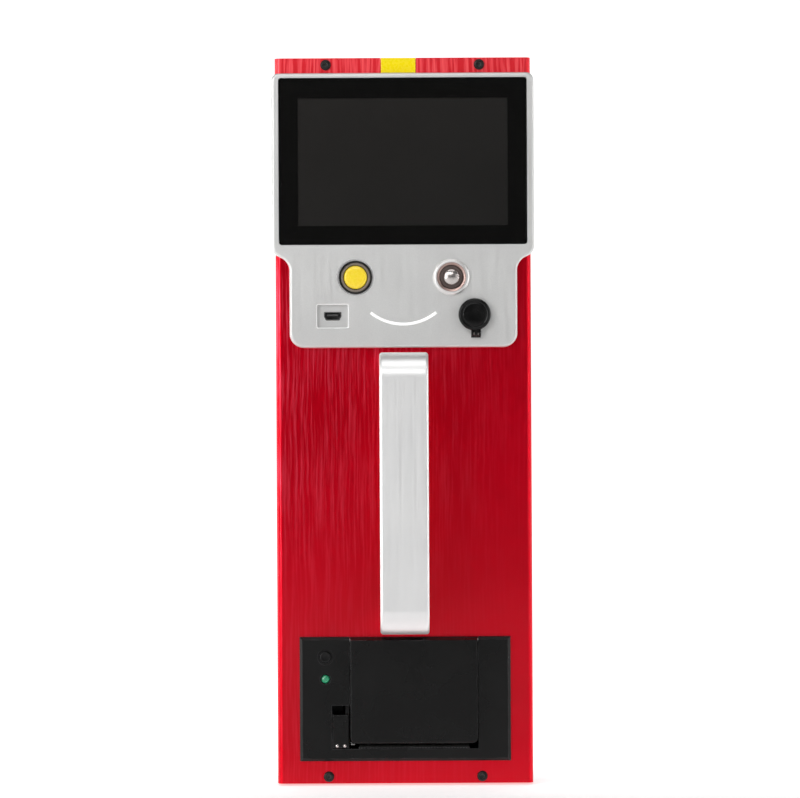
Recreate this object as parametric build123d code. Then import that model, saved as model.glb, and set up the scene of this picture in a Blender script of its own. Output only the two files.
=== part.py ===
from build123d import *
from math import acos, cos, pi, radians, sin, tan
import os

# Compact ticket vending machine: a hinged front door on a shallow rear case.
# Millimetres, +Z up, +X to the right as a customer sees it, the front faces -Y.
# "Depth" counts backwards from the front face of the red skin, so the handle is at negative depth.

# Front door skin
width = 133.0
height = 378.0
door_depth = 22.0
door_lift = 0.6
skin = 2.0
skin_bend = 3.0
rail_height = 7.2
rail_plate = 2.2
rail_depth = 8.0
cover_screw_x = 39.9

# Rear case
case_inset = 8.0
case_drop = 2.0
case_gap = 1.0
case_back = 72.0
sheet = 1.5
case_flange = 10.0
tray_lip = 12.0
wall_bolt_x = 40.0
wall_bolt_low = 100.0
wall_bolt_drop = 21.0
wall_bolt_radius = 2.75
grommet_z = 97.0
grommet_bore = 5.5
grommet_neck = 7.0

# Door hinges
hinge_low = 60.0
hinge_drop = 58.0
hinge_length = 36.0
hinge_inset = 5.4
hinge_pin_radius = 1.5
knuckle_radius = 2.5
leaf = 1.5
leaf_width = 18.0

# Fascia, the silver plate that carries the display and controls
fascia_drop = 8.0
fascia_overhang = 1.7
fascia_low_inset = 7.3
fascia_upper_height = 93.4
fascia_step_drop = 4.8
fascia_height = 142.8
fascia_thick = 4.0
fascia_step_radius = 5.0
fascia_hollow_radius = 7.0
fascia_top_radius = 4.0
fascia_low_radius = 7.5
fascia_edge = 1.5

# Display, with heights counted down from the fascia's top
glass_side = 3.8
glass_drop = 2.7
glass_height = 86.5
glass_thick = 1.8
glass_sunk = 0.15
glass_radius = 1.5
border_thick = 0.6
active_width = 109.0
active_drop = 13.1
active_height = 66.3
lcd_margin = 5.7
lcd_thick = 5.0
board_gap = 6.0
board_thick = 1.6

# Push buttons, 16 mm panel size
button_drop = 106.3
select_x = -24.8
start_x = 25.0
barrel_radius = 8.0
barrel_end = 14.0
select_lip = 0.7
select_ring = 1.5
select_cap_radius = 6.05
select_travel = 2.5
start_lip = 1.55
start_cap_radius = 6.0
start_dome_radius = 4.1
start_travel = 1.6

# Cam lock with a hinged dust cover
lock_x = 36.9
lock_drop = 125.8
lock_barrel_radius = 6.0
lock_barrel_end = 20.0
lock_lip = 2.0
plug_radius = 4.4
cam_gap = 3.0
cam_thick = 2.0
cam_overlap = 5.4
cover_lip = 0.4
cover_pivot_x = 37.6
cover_pivot_drop = 10.0
cover_pin_radius = 0.6
cover_ear_radius = 1.35

# Service port and the curved light line
port_x = -36.8
port_drop = 126.3
port_recess_width = 16.1
port_recess_height = 11.9
port_width = 8.8
port_height = 4.2
arc_half = 17.0
arc_drop = 124.6
arc_sag = 6.0
arc_stroke = 1.5

# Status lens in the top edge
lens_x = -2.1
lens_width = 18.3

# Pull handle
handle_width = 25.1
handle_top_gap = 2.8
handle_low_gap = 2.9
handle_reach = 42.0
handle_thick = 7.0
handle_bend = 13.0
handle_edge = 1.5
handle_screw_radius = 2.5

# Panel printer
bezel_width = 109.6
bezel_low = 12.4
bezel_border = 2.9
bezel_thick = 3.0
bezel_bevel = 1.4
flap_left = -28.6
flap_margin = 8.8
flap_low = 21.7
flap_front = 5.0
flap_wall = 2.0
flap_pin_radius = 0.8
flap_barrel = 1.6
slot_low = 18.8
flap_gap = 0.25
tear_low = 17.3
bay_wall = 2.0
bay_low = 15.0
bay_top_gap = 4.0
bay_floor_gap = 7.0
bay_back_gap = 3.0
side_box_left = -46.0
side_box_back = 15.0
paper_width = 57.5
roll_radius = 22.0
roll_front_gap = 5.0
core_radius = 7.0
hub_radius = 5.5
platen_radius = 4.5
platen_depth = 6.5
platen_z = 25.0
shaft_radius = 1.5
feed_x = -41.4
feed_z = 66.6
feed_radius = 3.0
feed_travel = 0.8
led_z = 55.1
led_radius = 2.25
lever_left = -37.8
lever_right = -29.6
lever_low = 19.0
lever_high = 36.6
lever_recess_high = 41.4

# Gear train from the paper motor to the platen roller
tooth_module = 0.6
platen_teeth = 16
idler_teeth = 24
pinion_teeth = 10
gear_width = 2.0
mesh_gap = 0.05
backlash = 0.12
motor_radius = 8.0
idler_direction = 20.0
pinion_direction = -50.0

# Clearances
running = 0.05
loose = 0.3
slip = 0.1

# Worked-out places
half = width / 2
case_width = width - 2 * case_inset
case_height = height - case_drop
wall_bolt_high = case_height - wall_bolt_drop
hinge_heights = {"lower": hinge_low, "upper": height - hinge_drop}
fascia_width = width + 2 * fascia_overhang
fascia_low_width = width - 2 * fascia_low_inset
fascia_top = height - fascia_drop
fascia_step = fascia_top - fascia_upper_height
fascia_bottom = fascia_top - fascia_height
glass_width = fascia_width - 2 * glass_side
glass_high = fascia_top - glass_drop
glass_low = glass_high - glass_height
active_high = fascia_top - active_drop
active_low = active_high - active_height
button_z = fascia_top - button_drop
select_bezel_radius = barrel_radius + select_lip
start_bezel_radius = barrel_radius + start_lip
lock_z = fascia_top - lock_drop
lock_flange_radius = lock_barrel_radius + lock_lip
cover_radius = lock_flange_radius + cover_lip
cover_pivot_z = lock_z - cover_pivot_drop
port_z = fascia_top - port_drop
arc_end_z = fascia_top - arc_drop
arc_low_z = arc_end_z - arc_sag
flap_right = flap_left + paper_width + flap_margin
roll_depth = roll_radius + roll_front_gap
roll_z = bay_low + bay_wall + bay_floor_gap + roll_radius
bay_high = roll_z + roll_radius + bay_top_gap + bay_wall
bay_back = roll_depth + roll_radius + bay_back_gap + bay_wall
bezel_high = bay_high + bezel_border
handle_low = bezel_high + handle_low_gap
handle_high = fascia_bottom - handle_top_gap
front_y = (handle_reach - case_back) / 2
case_front = door_depth + case_gap
case_half = case_width / 2
cam_depth = case_front + sheet + cam_gap
cam_reach = case_half - case_flange - lock_x + cam_overlap
hinge_x = -half + hinge_inset
hinge_depth = case_front + knuckle_radius + 0.5
tear_front = -bezel_thick + 1.4
tear_root = slot_low - 0.1
flap_pivot_z = bezel_high - flap_barrel
flap_pivot_depth = -flap_barrel - 0.1
bay_left = flap_left - 2.6
bay_right = flap_right + 2.5
paper_mid = (flap_left + flap_right) / 2
paper_span = (paper_mid - paper_width / 2, paper_mid + paper_width / 2)
gear_span = (bay_left + bay_wall + 0.8, bay_left + bay_wall + 0.8 + gear_width)
cheek = 1.4
lens_span = (lens_x - lens_width / 2, lens_x + lens_width / 2)
lcd_width = active_width + 2 * lcd_margin
lcd_low = active_low - lcd_margin
lcd_high = active_high + lcd_margin
lcd_front = -fascia_thick + glass_sunk + glass_thick + border_thick
lcd_back = lcd_front + lcd_thick
board_front = lcd_back + sheet + board_gap
rail_screws = [(x, z) for x in (-cover_screw_x, cover_screw_x)
               for z in (door_lift + rail_height / 2, height - rail_height / 2)]
handle_screws_z = (handle_low + handle_thick / 2, handle_high - handle_thick / 2)


def polar(start, reach, degrees):
    """The point at a distance and direction from start, in the depth and height plane."""
    return (start[0] + reach * cos(radians(degrees)), start[1] + reach * sin(radians(degrees)))


def centre_distance(teeth_a, teeth_b):
    return tooth_module * (teeth_a + teeth_b) / 2 + mesh_gap


platen_at = (platen_depth, platen_z)
idler_at = polar(platen_at, centre_distance(platen_teeth, idler_teeth), idler_direction)
pinion_at = polar(idler_at, centre_distance(idler_teeth, pinion_teeth), pinion_direction)


# ---- shapes in this machine's own coordinates ----

def block(x_span, depth_span, z_span):
    """A box between two x, two depths and two heights."""
    size = [b - a for a, b in (x_span, depth_span, z_span)]
    mid = [(a + b) / 2 for a, b in (x_span, depth_span, z_span)]
    return Pos(mid[0], front_y + mid[1], mid[2]) * Box(*size)


def rod_y(x, z, radius, depth_span):
    """A round bar running front to back."""
    start, end = depth_span
    return Pos(x, front_y + (start + end) / 2, z) * Rot(90, 0, 0) * Cylinder(radius, end - start)


def rod_x(depth, z, radius, x_span):
    """A round bar running left to right."""
    start, end = x_span
    return Pos((start + end) / 2, front_y + depth, z) * Rot(0, 90, 0) * Cylinder(radius, end - start)


def rod_z(x, depth, radius, z_span):
    """An upright round bar."""
    start, end = z_span
    return Pos(x, front_y + depth, (start + end) / 2) * Cylinder(radius, end - start)


def panel(outline, depth_span):
    """A front-view outline (x, z) made into a plate between two depths."""
    start, end = depth_span
    return Pos(0, front_y + end, 0) * extrude(Plane.XZ * outline, amount=end - start, dir=(0, -1, 0))


def side_profile(outline, x_span):
    """A side-view outline (depth, z) made into a bar between two x."""
    start, end = x_span
    return Pos(start, front_y, 0) * extrude(Plane.YZ * outline, amount=end - start, dir=(1, 0, 0))


def plan_profile(outline, z_span):
    """A top-view outline (x, depth) made into an upright bar between two heights."""
    start, end = z_span
    return Pos(0, front_y, start) * extrude(outline, amount=end - start, dir=(0, 0, 1))


def window(x_span, z_span, radius=0.0):
    """A rectangle outline in front view, with round corners where a radius is given."""
    wide = x_span[1] - x_span[0]
    tall = z_span[1] - z_span[0]
    shape = RectangleRounded(wide, tall, radius) if radius else Rectangle(wide, tall)
    return Pos((x_span[0] + x_span[1]) / 2, (z_span[0] + z_span[1]) / 2) * shape


def hex_nut(x, z, across, hole, depth_span):
    """A hexagon nut facing front, with a round hole."""
    outline = Pos(x, z) * (RegularPolygon(across / 3 ** 0.5, 6) - Circle(hole))
    return panel(outline, depth_span)


def front_edges(solid, depth):
    """Edges that lie in the plane at this depth."""
    return solid.edges().filter_by_position(Axis.Y, front_y + depth - 0.001, front_y + depth + 0.001)


# ---- gears ----

def gear_outline(teeth, bore, first_tooth):
    """An involute gear outline whose first tooth points at first_tooth degrees."""
    pitch = tooth_module * teeth / 2
    base = pitch * cos(radians(20))
    root = pitch - 1.15 * tooth_module
    tip = pitch + 0.9 * tooth_module
    start = max(base, root)
    half_pitch = (pi / 2 - backlash / tooth_module) / teeth

    def half_tooth(radius):
        angle = acos(min(1.0, base / radius))
        return half_pitch + tan(radians(20)) - radians(20) - (tan(angle) - angle)

    flank = [start + (tip - start) * step / 4 for step in range(5)]
    points = []
    for tooth in range(teeth):
        mid = radians(first_tooth) + 2 * pi * tooth / teeth
        rising = [(root, -half_tooth(start))] + [(r, -half_tooth(r)) for r in flank]
        falling = [(r, half_tooth(r)) for r in reversed(flank)] + [(root, half_tooth(start))]
        for radius, turn in rising + falling:
            point = (radius * cos(mid + turn), radius * sin(mid + turn))
            if not points or abs(point[0] - points[-1][0]) + abs(point[1] - points[-1][1]) > 1e-6:
                points.append(point)
    outline = make_face(Polyline(*points, close=True))
    return outline - Circle(bore) if bore else outline


def gear(teeth, bore, first_tooth, centre, x_span):
    """A spur gear across the machine at a (depth, z) centre."""
    return side_profile(Pos(*centre) * gear_outline(teeth, bore, first_tooth), x_span)


# ---- rear case ----

def case_shell():
    outer = Pos(0, (case_front + case_back) / 2) * Rectangle(case_width, case_back - case_front)
    outer = fillet(outer.vertices(), sheet + 0.5)
    inner = Rectangle(case_width - 2 * sheet, case_back - case_front - 2 * sheet)
    mouth = Rectangle(case_width - 2 * case_flange, 4 * sheet)
    outline = outer - Pos(0, (case_front + case_back) / 2) * inner - Pos(0, case_front) * mouth
    shell = plan_profile(outline, (0, case_height))
    for x in (-wall_bolt_x, wall_bolt_x):
        for z in (wall_bolt_low, wall_bolt_high):
            shell -= rod_y(x, z, wall_bolt_radius, (case_back - 3 * sheet, case_back + 1))
    shell -= rod_y(0, grommet_z, grommet_neck, (case_back - 3 * sheet, case_back + 1))
    return shell - case_rivet_shanks()


def tray(z_web, z_lip):
    """A case end plate with three lips folded towards the middle of the case."""
    x_in = case_half - sheet
    depths = (case_front + sheet, case_back - sheet)
    low, high = sorted((z_web, z_lip))
    body = block((-x_in, x_in), depths, (low, high))
    inside = (z_web + sheet, z_lip + 1) if z_lip > z_web else (z_lip - 1, z_web - sheet)
    room = block((-x_in + sheet, x_in - sheet), (depths[0] - 1, depths[1] - sheet), inside)
    return body - room - case_rivet_shanks()


def case_top_plate():
    return tray(case_height, case_height - sheet - tray_lip)


def case_bottom_plate():
    return tray(0, sheet + tray_lip)


def rivet_places():
    mid = (case_front + case_back) / 2
    lip_mid = sheet + tray_lip / 2
    return [(side, depth, z) for side in (-1, 1)
            for depth in (mid - 12, mid + 12)
            for z in (lip_mid, case_height - lip_mid)]


rivet_radius = 1.6


def case_rivet_shanks():
    shanks = Part()
    for side, depth, z in rivet_places():
        span = sorted((side * (case_half - 2 * sheet - 0.5), side * (case_half + 0.5)))
        shanks += rod_x(depth, z, rivet_radius, span)
    return shanks


def case_rivets():
    rivets = []
    for side, depth, z in rivet_places():
        outside = side * case_half
        shank = rod_x(depth, z, rivet_radius - 0.05, sorted((outside, side * (case_half - 2 * sheet))))
        head = rod_x(depth, z, 2 * rivet_radius, sorted((outside, outside + side * 0.9)))
        rim = head.edges().filter_by(GeomType.CIRCLE).sort_by(Axis.X)
        head = fillet(rim[-1] if side > 0 else rim[0], 0.6)
        tail = rod_x(depth, z, 1.5 * rivet_radius,
                     sorted((side * (case_half - 2 * sheet), side * (case_half - 2 * sheet - 1.5))))
        rivets.append(head + shank + tail)
    return Compound(rivets)


def battery_pack():
    pack = block((-44, 44), (case_back - sheet - 34.5, case_back - sheet), (125, 228))
    pack = fillet(pack.edges().filter_by(Axis.Z), 3)
    pack += block((-20, 20), (case_back - sheet - 30, case_back - sheet - 8), (228, 232))
    return pack


def battery_bracket():
    back = case_back - sheet
    strap = block((-45.5, 45.5), (back - 36, back), (160, 190))
    strap -= block((-44, 44), (back - 34.5, back + 1), (159, 191))
    for side in (-1, 1):
        strap += block(sorted((side * 45.5, side * 55)), (back - sheet, back), (160, 190))
        strap -= rod_y(side * 50.5, 175, 2.2, (back - 5, back + 1))
    return strap


def power_supply():
    back = case_back - sheet
    box = block((-42, 42), (back - 30, back), (250, 345))
    box = chamfer(box.edges().filter_by(Axis.Z), 1.0)
    for row in range(6):
        vent = block((-30, 30), (back - 31, back - 29), (266 + 11 * row, 270 + 11 * row))
        box -= vent
    box += block((-34, 34), (back - 24, back - 8), (243, 250))
    return box


def cable_grommet():
    back = case_back
    ring = rod_y(0, grommet_z, grommet_neck - 0.02, (back - sheet, back))
    ring += rod_y(0, grommet_z, grommet_neck + 2.5, (back - sheet - 3.5, back - sheet))
    return ring - rod_y(0, grommet_z, grommet_bore, (back - 8, back + 1))


# ---- door hinges ----

def knuckle_spans(mid):
    """The lower case knuckle, the door knuckle and the upper case knuckle."""
    third = hinge_length / 3
    low = mid - hinge_length / 2
    return [(low, low + third - 0.2), (low + third + 0.2, low + 2 * third - 0.2),
            (low + 2 * third + 0.2, low + hinge_length)]


def hinge_case_leaf(mid):
    lower, _, upper = knuckle_spans(mid)
    wall_x = -case_half
    body = block((wall_x - leaf, wall_x), (hinge_depth, hinge_depth + leaf_width), (lower[0], upper[1]))
    body -= block((wall_x - leaf - 1, wall_x + 1), (hinge_depth - 1, hinge_depth + knuckle_radius + 1.2),
                  (lower[1], upper[0]))
    for span in (lower, upper):
        body += rod_z(hinge_x, hinge_depth, knuckle_radius, span)
        body -= rod_z(hinge_x, hinge_depth, hinge_pin_radius + running, span)
    return body


def hinge_door_leaf(mid):
    lower, middle, upper = knuckle_spans(mid)
    inner = -half + skin
    flat = block((inner, inner + leaf), (door_depth - 14, door_depth + 0.8), (lower[0], upper[1]))
    neck = Polygon((inner, door_depth - 2), (inner + leaf, door_depth - 2), (inner + leaf, door_depth + 0.8),
                   (hinge_x, hinge_depth - knuckle_radius), (hinge_x, hinge_depth),
                   (hinge_x - 2.2, hinge_depth), (inner, hinge_depth - 1.8), align=None)
    body = flat + plan_profile(neck, middle)
    body += rod_z(hinge_x, hinge_depth, knuckle_radius, middle)
    return body - rod_z(hinge_x, hinge_depth, hinge_pin_radius + running, middle)


def hinge_pins():
    pins = []
    for mid in hinge_heights.values():
        ends = (mid - hinge_length / 2 - 0.8, mid + hinge_length / 2 + 0.8)
        pin = rod_z(hinge_x, hinge_depth, hinge_pin_radius, ends)
        pin += rod_z(hinge_x, hinge_depth, hinge_pin_radius + 0.7, (ends[1] - 0.7, ends[1]))
        pins.append(pin)
    return Compound(pins)


# ---- door skin and rails ----

def front_skin():
    outer = Pos(0, door_depth / 2) * Rectangle(width, door_depth)
    outer = fillet(outer.vertices().group_by(Axis.Y)[0], skin_bend)
    inner = Pos(0, skin + door_depth / 2) * Rectangle(width - 2 * skin, door_depth)
    inner = fillet(inner.vertices().group_by(Axis.Y)[0], skin_bend - skin)
    body = plan_profile(outer - inner, (door_lift, height))
    cut = (-1, skin + 1)
    body -= block((-lcd_width / 2 - 1.5, lcd_width / 2 + 1.5), cut, (lcd_low - 1.5, lcd_high + 1.5))
    body -= block((side_box_left - 1, bay_right + 1), cut, (bay_low - 0.5, bay_high + 0.5))
    body -= block(lens_span, cut, (fascia_top, height + 1))
    body -= block((port_x - 6, port_x + 6), cut, (port_z - 4, port_z + 4))
    for x, z, radius in [(select_x, button_z, barrel_radius), (start_x, button_z, barrel_radius),
                         (lock_x, lock_z, lock_barrel_radius)]:
        body -= rod_y(x, z, radius + slip, cut)
    for z in handle_screws_z:
        body -= rod_y(0, z, handle_screw_radius + loose, cut)
    for x, z in rail_screws:
        body -= rod_y(x, z, 1.6, cut)
    return body


def rail(z_outer, z_inner):
    """An L-section end rail: a full-depth plate with a thick front bar for the cover screws."""
    x_in = half - skin
    plate_in = z_outer + rail_plate if z_inner > z_outer else z_outer - rail_plate
    body = block((-x_in, x_in), (skin, door_depth), sorted((z_outer, plate_in)))
    body += block((-x_in, x_in), (skin, skin + rail_depth), sorted((z_outer, z_inner)))
    corners = body.edges().filter_by(Axis.Z).group_by(Axis.Y)[0]
    body = fillet(corners, skin_bend - skin)
    for x, z in rail_screws:
        body -= rod_y(x, z, 1.5, (skin - 1, skin + rail_depth + 1))
    return body


def top_rail():
    notch = block(lens_span, (skin - 1, skin + rail_depth), (height - rail_height - 1, height + 1))
    return rail(height, height - rail_height) - notch


def bottom_rail():
    return rail(door_lift, door_lift + rail_height)


def status_lens():
    lens = block((lens_span[0] + slip, lens_span[1] - slip), (-0.8, skin + rail_depth - slip),
                 (fascia_top + slip, height))
    return fillet(front_edges(lens, -0.8), 0.5)


def cover_screws():
    screws = []
    for x, z in rail_screws:
        head = rod_y(x, z, 2.75, (-1.6, 0))
        head = fillet(front_edges(head, -1.6), 0.8)
        shank = rod_y(x, z, 1.45, (0, skin + rail_depth - 1))
        socket = panel(Pos(x, z) * RegularPolygon(1.15, 6), (-2, -0.5))
        screws.append(head + shank - socket)
    return Compound(screws)


# ---- fascia and display ----

def fascia_outline():
    upper = fascia_width / 2
    lower = fascia_low_width / 2
    hollow = fascia_step - fascia_step_drop
    points = [(upper, fascia_top), (upper, fascia_step), (lower, hollow), (lower, fascia_bottom),
              (-lower, fascia_bottom), (-lower, hollow), (-upper, fascia_step), (-upper, fascia_top)]
    side = [fascia_top_radius, fascia_step_radius, fascia_hollow_radius, fascia_low_radius]
    return make_face(FilletPolyline(*points, radius=side + side[::-1], close=True))


def port_outline(grow):
    """The service port's opening: a wide top and a narrower bottom."""
    wide = port_width / 2 + grow
    tall = port_height / 2 + grow
    corners = [(-wide, tall), (wide, tall), (wide, -0.1 * tall), (0.78 * wide, -tall),
               (-0.78 * wide, -tall), (-wide, -0.1 * tall)]
    return Pos(port_x, port_z) * Polygon(*corners, align=None)


def light_path():
    return ThreePointArc((-arc_half, arc_end_z), (0, arc_low_z), (arc_half, arc_end_z))


def fascia():
    body = panel(fascia_outline(), (-fascia_thick, 0))
    body = fillet(front_edges(body, -fascia_thick), fascia_edge)
    glass_x = glass_width / 2 + 0.2
    pocket = window((-glass_x, glass_x), (glass_low - 0.2, glass_high + 0.2), glass_radius)
    body -= panel(pocket, (-fascia_thick - 1, lcd_front))
    view = window((-lcd_width / 2 - 0.4, lcd_width / 2 + 0.4), (lcd_low - 0.4, lcd_high + 0.4))
    body -= panel(view, (-fascia_thick - 1, 1))
    for x, radius in [(select_x, barrel_radius), (start_x, barrel_radius)]:
        body -= rod_y(x, button_z, radius + slip, (-fascia_thick - 1, 1))
    seat = rod_y(select_x, button_z, select_bezel_radius + slip, (-fascia_thick - 1, -fascia_thick + 1))
    body -= seat
    rim = body.edges().filter_by(GeomType.CIRCLE)
    rim = [e for e in front_edges(body, -fascia_thick).filter_by(GeomType.CIRCLE)
           if abs(e.arc_center.X - select_x) < 0.01 and abs(e.radius - select_bezel_radius - slip) < 0.01]
    body = chamfer(rim, 0.9)
    body -= rod_y(lock_x, lock_z, lock_barrel_radius + slip, (-fascia_thick - 1, 1))
    recess = window((port_x - port_recess_width / 2, port_x + port_recess_width / 2),
                    (port_z - port_recess_height / 2, port_z + port_recess_height / 2), 0.8)
    body -= panel(recess, (-fascia_thick - 1, -fascia_thick + 2.5))
    body -= panel(port_outline(slip), (-fascia_thick, 1))
    groove = trace(light_path(), arc_stroke + 0.1)
    body -= panel(groove, (-fascia_thick - 1, -fascia_thick + 2))
    return body


def light_arc():
    return panel(trace(light_path(), arc_stroke), (-fascia_thick - 0.05, -fascia_thick + 2))


def cover_glass():
    x = glass_width / 2
    front = -fascia_thick + glass_sunk
    pane = panel(window((-x, x), (glass_low, glass_high), glass_radius), (front, front + glass_thick))
    return chamfer(front_edges(pane, front), 0.25)


def display_border():
    x = glass_width / 2
    back = lcd_front
    ring = window((-x, x), (glass_low, glass_high), glass_radius)
    ring -= window((-active_width / 2, active_width / 2), (active_low, active_high))
    return panel(ring, (back - border_thick, back))


def lcd_module():
    x = lcd_width / 2
    body = panel(window((-x, x), (lcd_low, lcd_high), 1.0), (lcd_front, lcd_back))
    return body


bracket_posts = [(x, z) for x in (-50, 50) for z in (lcd_low - 4.5, lcd_high + 4.5)]
board_posts = [(x, z) for x in (-44, 44) for z in (lcd_low + 6, lcd_high - 6)]


def display_bracket():
    x = lcd_width / 2 + 2
    plate = panel(window((-x, x), (lcd_low - 8, lcd_high + 7), 3), (lcd_back, lcd_back + sheet))
    plate -= panel(window((-30, 30), (lcd_low + 16, lcd_high - 16), 4), (lcd_back - 1, lcd_back + sheet + 1))
    for x, z in bracket_posts:
        plate += rod_y(x, z, 2.4, (skin, lcd_back + sheet))
    return plate


def board_spacers():
    posts = [panel(Pos(x, z) * RegularPolygon(3, 6), (lcd_back + sheet, board_front)) for x, z in board_posts]
    return Compound(posts)


# Width span, height span above the board's lower edge, and height off the board
board_parts = [((-12, 8), (33, 53), 1.6), ((14, 26), (37, 49), 1.2), ((-46, -38), (15, 55), 5.0),
               ((-30, 10), (2, 8), 4.4), ((20, 30), (2, 9), 4.4), ((36, 47), (20, 60), 3.6)]


def main_board():
    back = board_front + board_thick
    board = panel(window((-50, 50), (lcd_low, lcd_high), 2), (board_front, back))
    for x_span, (low, high), tall in board_parts:
        board += block(x_span, (back, back + tall), (lcd_low + low, lcd_low + high))
    return board


# ---- push buttons ----

def select_button_bezel():
    seat = -fascia_thick + 1
    ring = rod_y(select_x, button_z, select_bezel_radius, (seat - 2.4, seat))
    ring = fillet(front_edges(ring, seat - 2.4), 0.7)
    ring += rod_y(select_x, button_z, barrel_radius, (seat, barrel_end))
    bore = select_bezel_radius - select_ring
    ring -= rod_y(select_x, button_z, bore, (seat - 3, seat + 1))
    return ring - rod_y(select_x, button_z, select_cap_radius + 0.2, (seat - 3, barrel_end - 2))


def select_button_collar():
    seat = -fascia_thick + 1
    outer = select_bezel_radius - select_ring - 0.02
    collar = rod_y(select_x, button_z, outer, (seat - 1.6, seat + 1))
    collar -= rod_y(select_x, button_z, select_cap_radius + 0.2, (seat - 3, seat + 2))
    rim = front_edges(collar, seat - 1.6).sort_by(Edge.length)[0]
    return chamfer(rim, 0.5)


def select_button_cap():
    front = -fascia_thick - 1.6
    cap = rod_y(select_x, button_z, select_cap_radius, (front, 3))
    cap = fillet(front_edges(cap, front), 0.9)
    return cap + rod_y(select_x, button_z, 3, (3, barrel_end - 2 - select_travel - 0.5))


def start_button_bezel():
    front = -fascia_thick - 2.0
    flange = rod_y(start_x, button_z, start_bezel_radius, (front, -fascia_thick))
    flange = chamfer(front_edges(flange, front), 1.2)
    flange += rod_y(start_x, button_z, barrel_radius, (-fascia_thick, barrel_end + 4))
    return flange - rod_y(start_x, button_z, start_cap_radius + 0.2, (front - 1, barrel_end + 2))


def start_button_ring():
    front = -fascia_thick - 1.2
    ring = rod_y(start_x, button_z, start_cap_radius, (front, 4))
    return ring - rod_y(start_x, button_z, start_dome_radius + 0.02, (front - 1, 5))


def start_button_cap():
    front = -fascia_thick - 1.2
    stem = rod_y(start_x, button_z, start_dome_radius, (front, barrel_end - 2))
    rise = 1.0
    sphere_radius = (start_dome_radius ** 2 + rise ** 2) / (2 * rise)
    ball = Pos(start_x, front_y + front + sphere_radius - rise, button_z) * Sphere(sphere_radius)
    dome = ball & rod_y(start_x, button_z, start_dome_radius, (front - rise, front))
    return stem + dome


def panel_nuts():
    span = (skin, skin + 3)
    nuts = [hex_nut(x, button_z, 2 * barrel_radius + 3, barrel_radius + 0.02, span)
            for x in (select_x, start_x)]
    nuts.append(hex_nut(lock_x, lock_z, 2 * lock_barrel_radius + 4, lock_barrel_radius + 0.02, span))
    return Compound(nuts)


# ---- cam lock ----

lock_front = -fascia_thick - 2.0
cover_pivot_depth = lock_front - 0.9


def lock_barrel():
    body = rod_y(lock_x, lock_z, lock_flange_radius, (lock_front, -fascia_thick))
    body += block((cover_pivot_x - 2.5, cover_pivot_x + 2.5), (-fascia_thick - 1, -fascia_thick),
                  (cover_pivot_z - 2, lock_z - 6))
    ear_span = (cover_pivot_x - 2.5, cover_pivot_x + 2.5)
    ears = rod_x(cover_pivot_depth, cover_pivot_z, cover_ear_radius, ear_span)
    ears += block(ear_span, (cover_pivot_depth, -fascia_thick),
                  (cover_pivot_z - cover_ear_radius, cover_pivot_z + cover_ear_radius))
    ears -= block((cover_pivot_x - 1.2, cover_pivot_x + 1.2), (cover_pivot_depth - 3, -fascia_thick - 1),
                  (cover_pivot_z - 3, cover_pivot_z + 3))
    body += ears
    body += rod_y(lock_x, lock_z, lock_barrel_radius, (-fascia_thick, lock_barrel_end))
    body -= rod_x(cover_pivot_depth, cover_pivot_z, cover_pin_radius,
                  (cover_pivot_x - 3, cover_pivot_x + 3))
    return body - rod_y(lock_x, lock_z, plug_radius + running, (lock_front - 1, lock_barrel_end + 1))


def dust_cover():
    back = lock_front - 0.2
    cap = rod_y(lock_x, lock_z, cover_radius, (back - 2.8, back))
    cap = fillet(front_edges(cap, back - 2.8), 1.2)
    cap -= rod_y(lock_x, lock_z, cover_radius - 1.6, (back - 1.2, back + 1))
    tongue = block((cover_pivot_x - 0.95, cover_pivot_x + 0.95), (cover_pivot_depth - 1.5, back),
                   (cover_pivot_z, lock_z - cover_radius + 1.6))
    tongue += rod_x(cover_pivot_depth, cover_pivot_z, 1.5, (cover_pivot_x - 0.95, cover_pivot_x + 0.95))
    cap += tongue
    return cap - rod_x(cover_pivot_depth, cover_pivot_z, cover_pin_radius + running,
                       (cover_pivot_x - 2, cover_pivot_x + 2))


def dust_cover_pin():
    return rod_x(cover_pivot_depth, cover_pivot_z, cover_pin_radius - 0.01,
                 (cover_pivot_x - 2.5, cover_pivot_x + 2.5))


def lock_plug():
    plug = rod_y(lock_x, lock_z, plug_radius, (lock_front, lock_barrel_end))
    plug -= block((lock_x - 0.6, lock_x + 0.6), (lock_front - 1, lock_front + 14),
                  (lock_z - 3.2, lock_z + 3.2))
    shank = cam_depth + cam_thick + 4
    return plug + block((lock_x - 2.5, lock_x + 2.5), (lock_barrel_end, shank), (lock_z - 2.5, lock_z + 2.5))


def lock_cam():
    blade = Pos(lock_x, lock_z) * Circle(6.5)
    blade += window((lock_x - 5, lock_x + 5), (lock_z - cam_reach, lock_z), 2)
    blade -= Pos(lock_x, lock_z) * Rectangle(5.06, 5.06)
    return panel(blade, (cam_depth, cam_depth + cam_thick))


def cam_nut():
    start = cam_depth + cam_thick
    outline = Pos(lock_x, lock_z) * (RegularPolygon(5.6, 6) - Rectangle(5.06, 5.06))
    return panel(outline, (start, start + 3))


# ---- service port ----

def usb_shell():
    front = -fascia_thick + 2.0
    shell = panel(port_outline(0), (front, 6)) - panel(port_outline(-0.4), (front - 1, 5.2))
    tongue = block((port_x - 2.8, port_x + 2.8), (front + 1.2, 5.6), (port_z + 0.2, port_z + 1.0))
    return shell + tongue


# ---- handle ----

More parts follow.
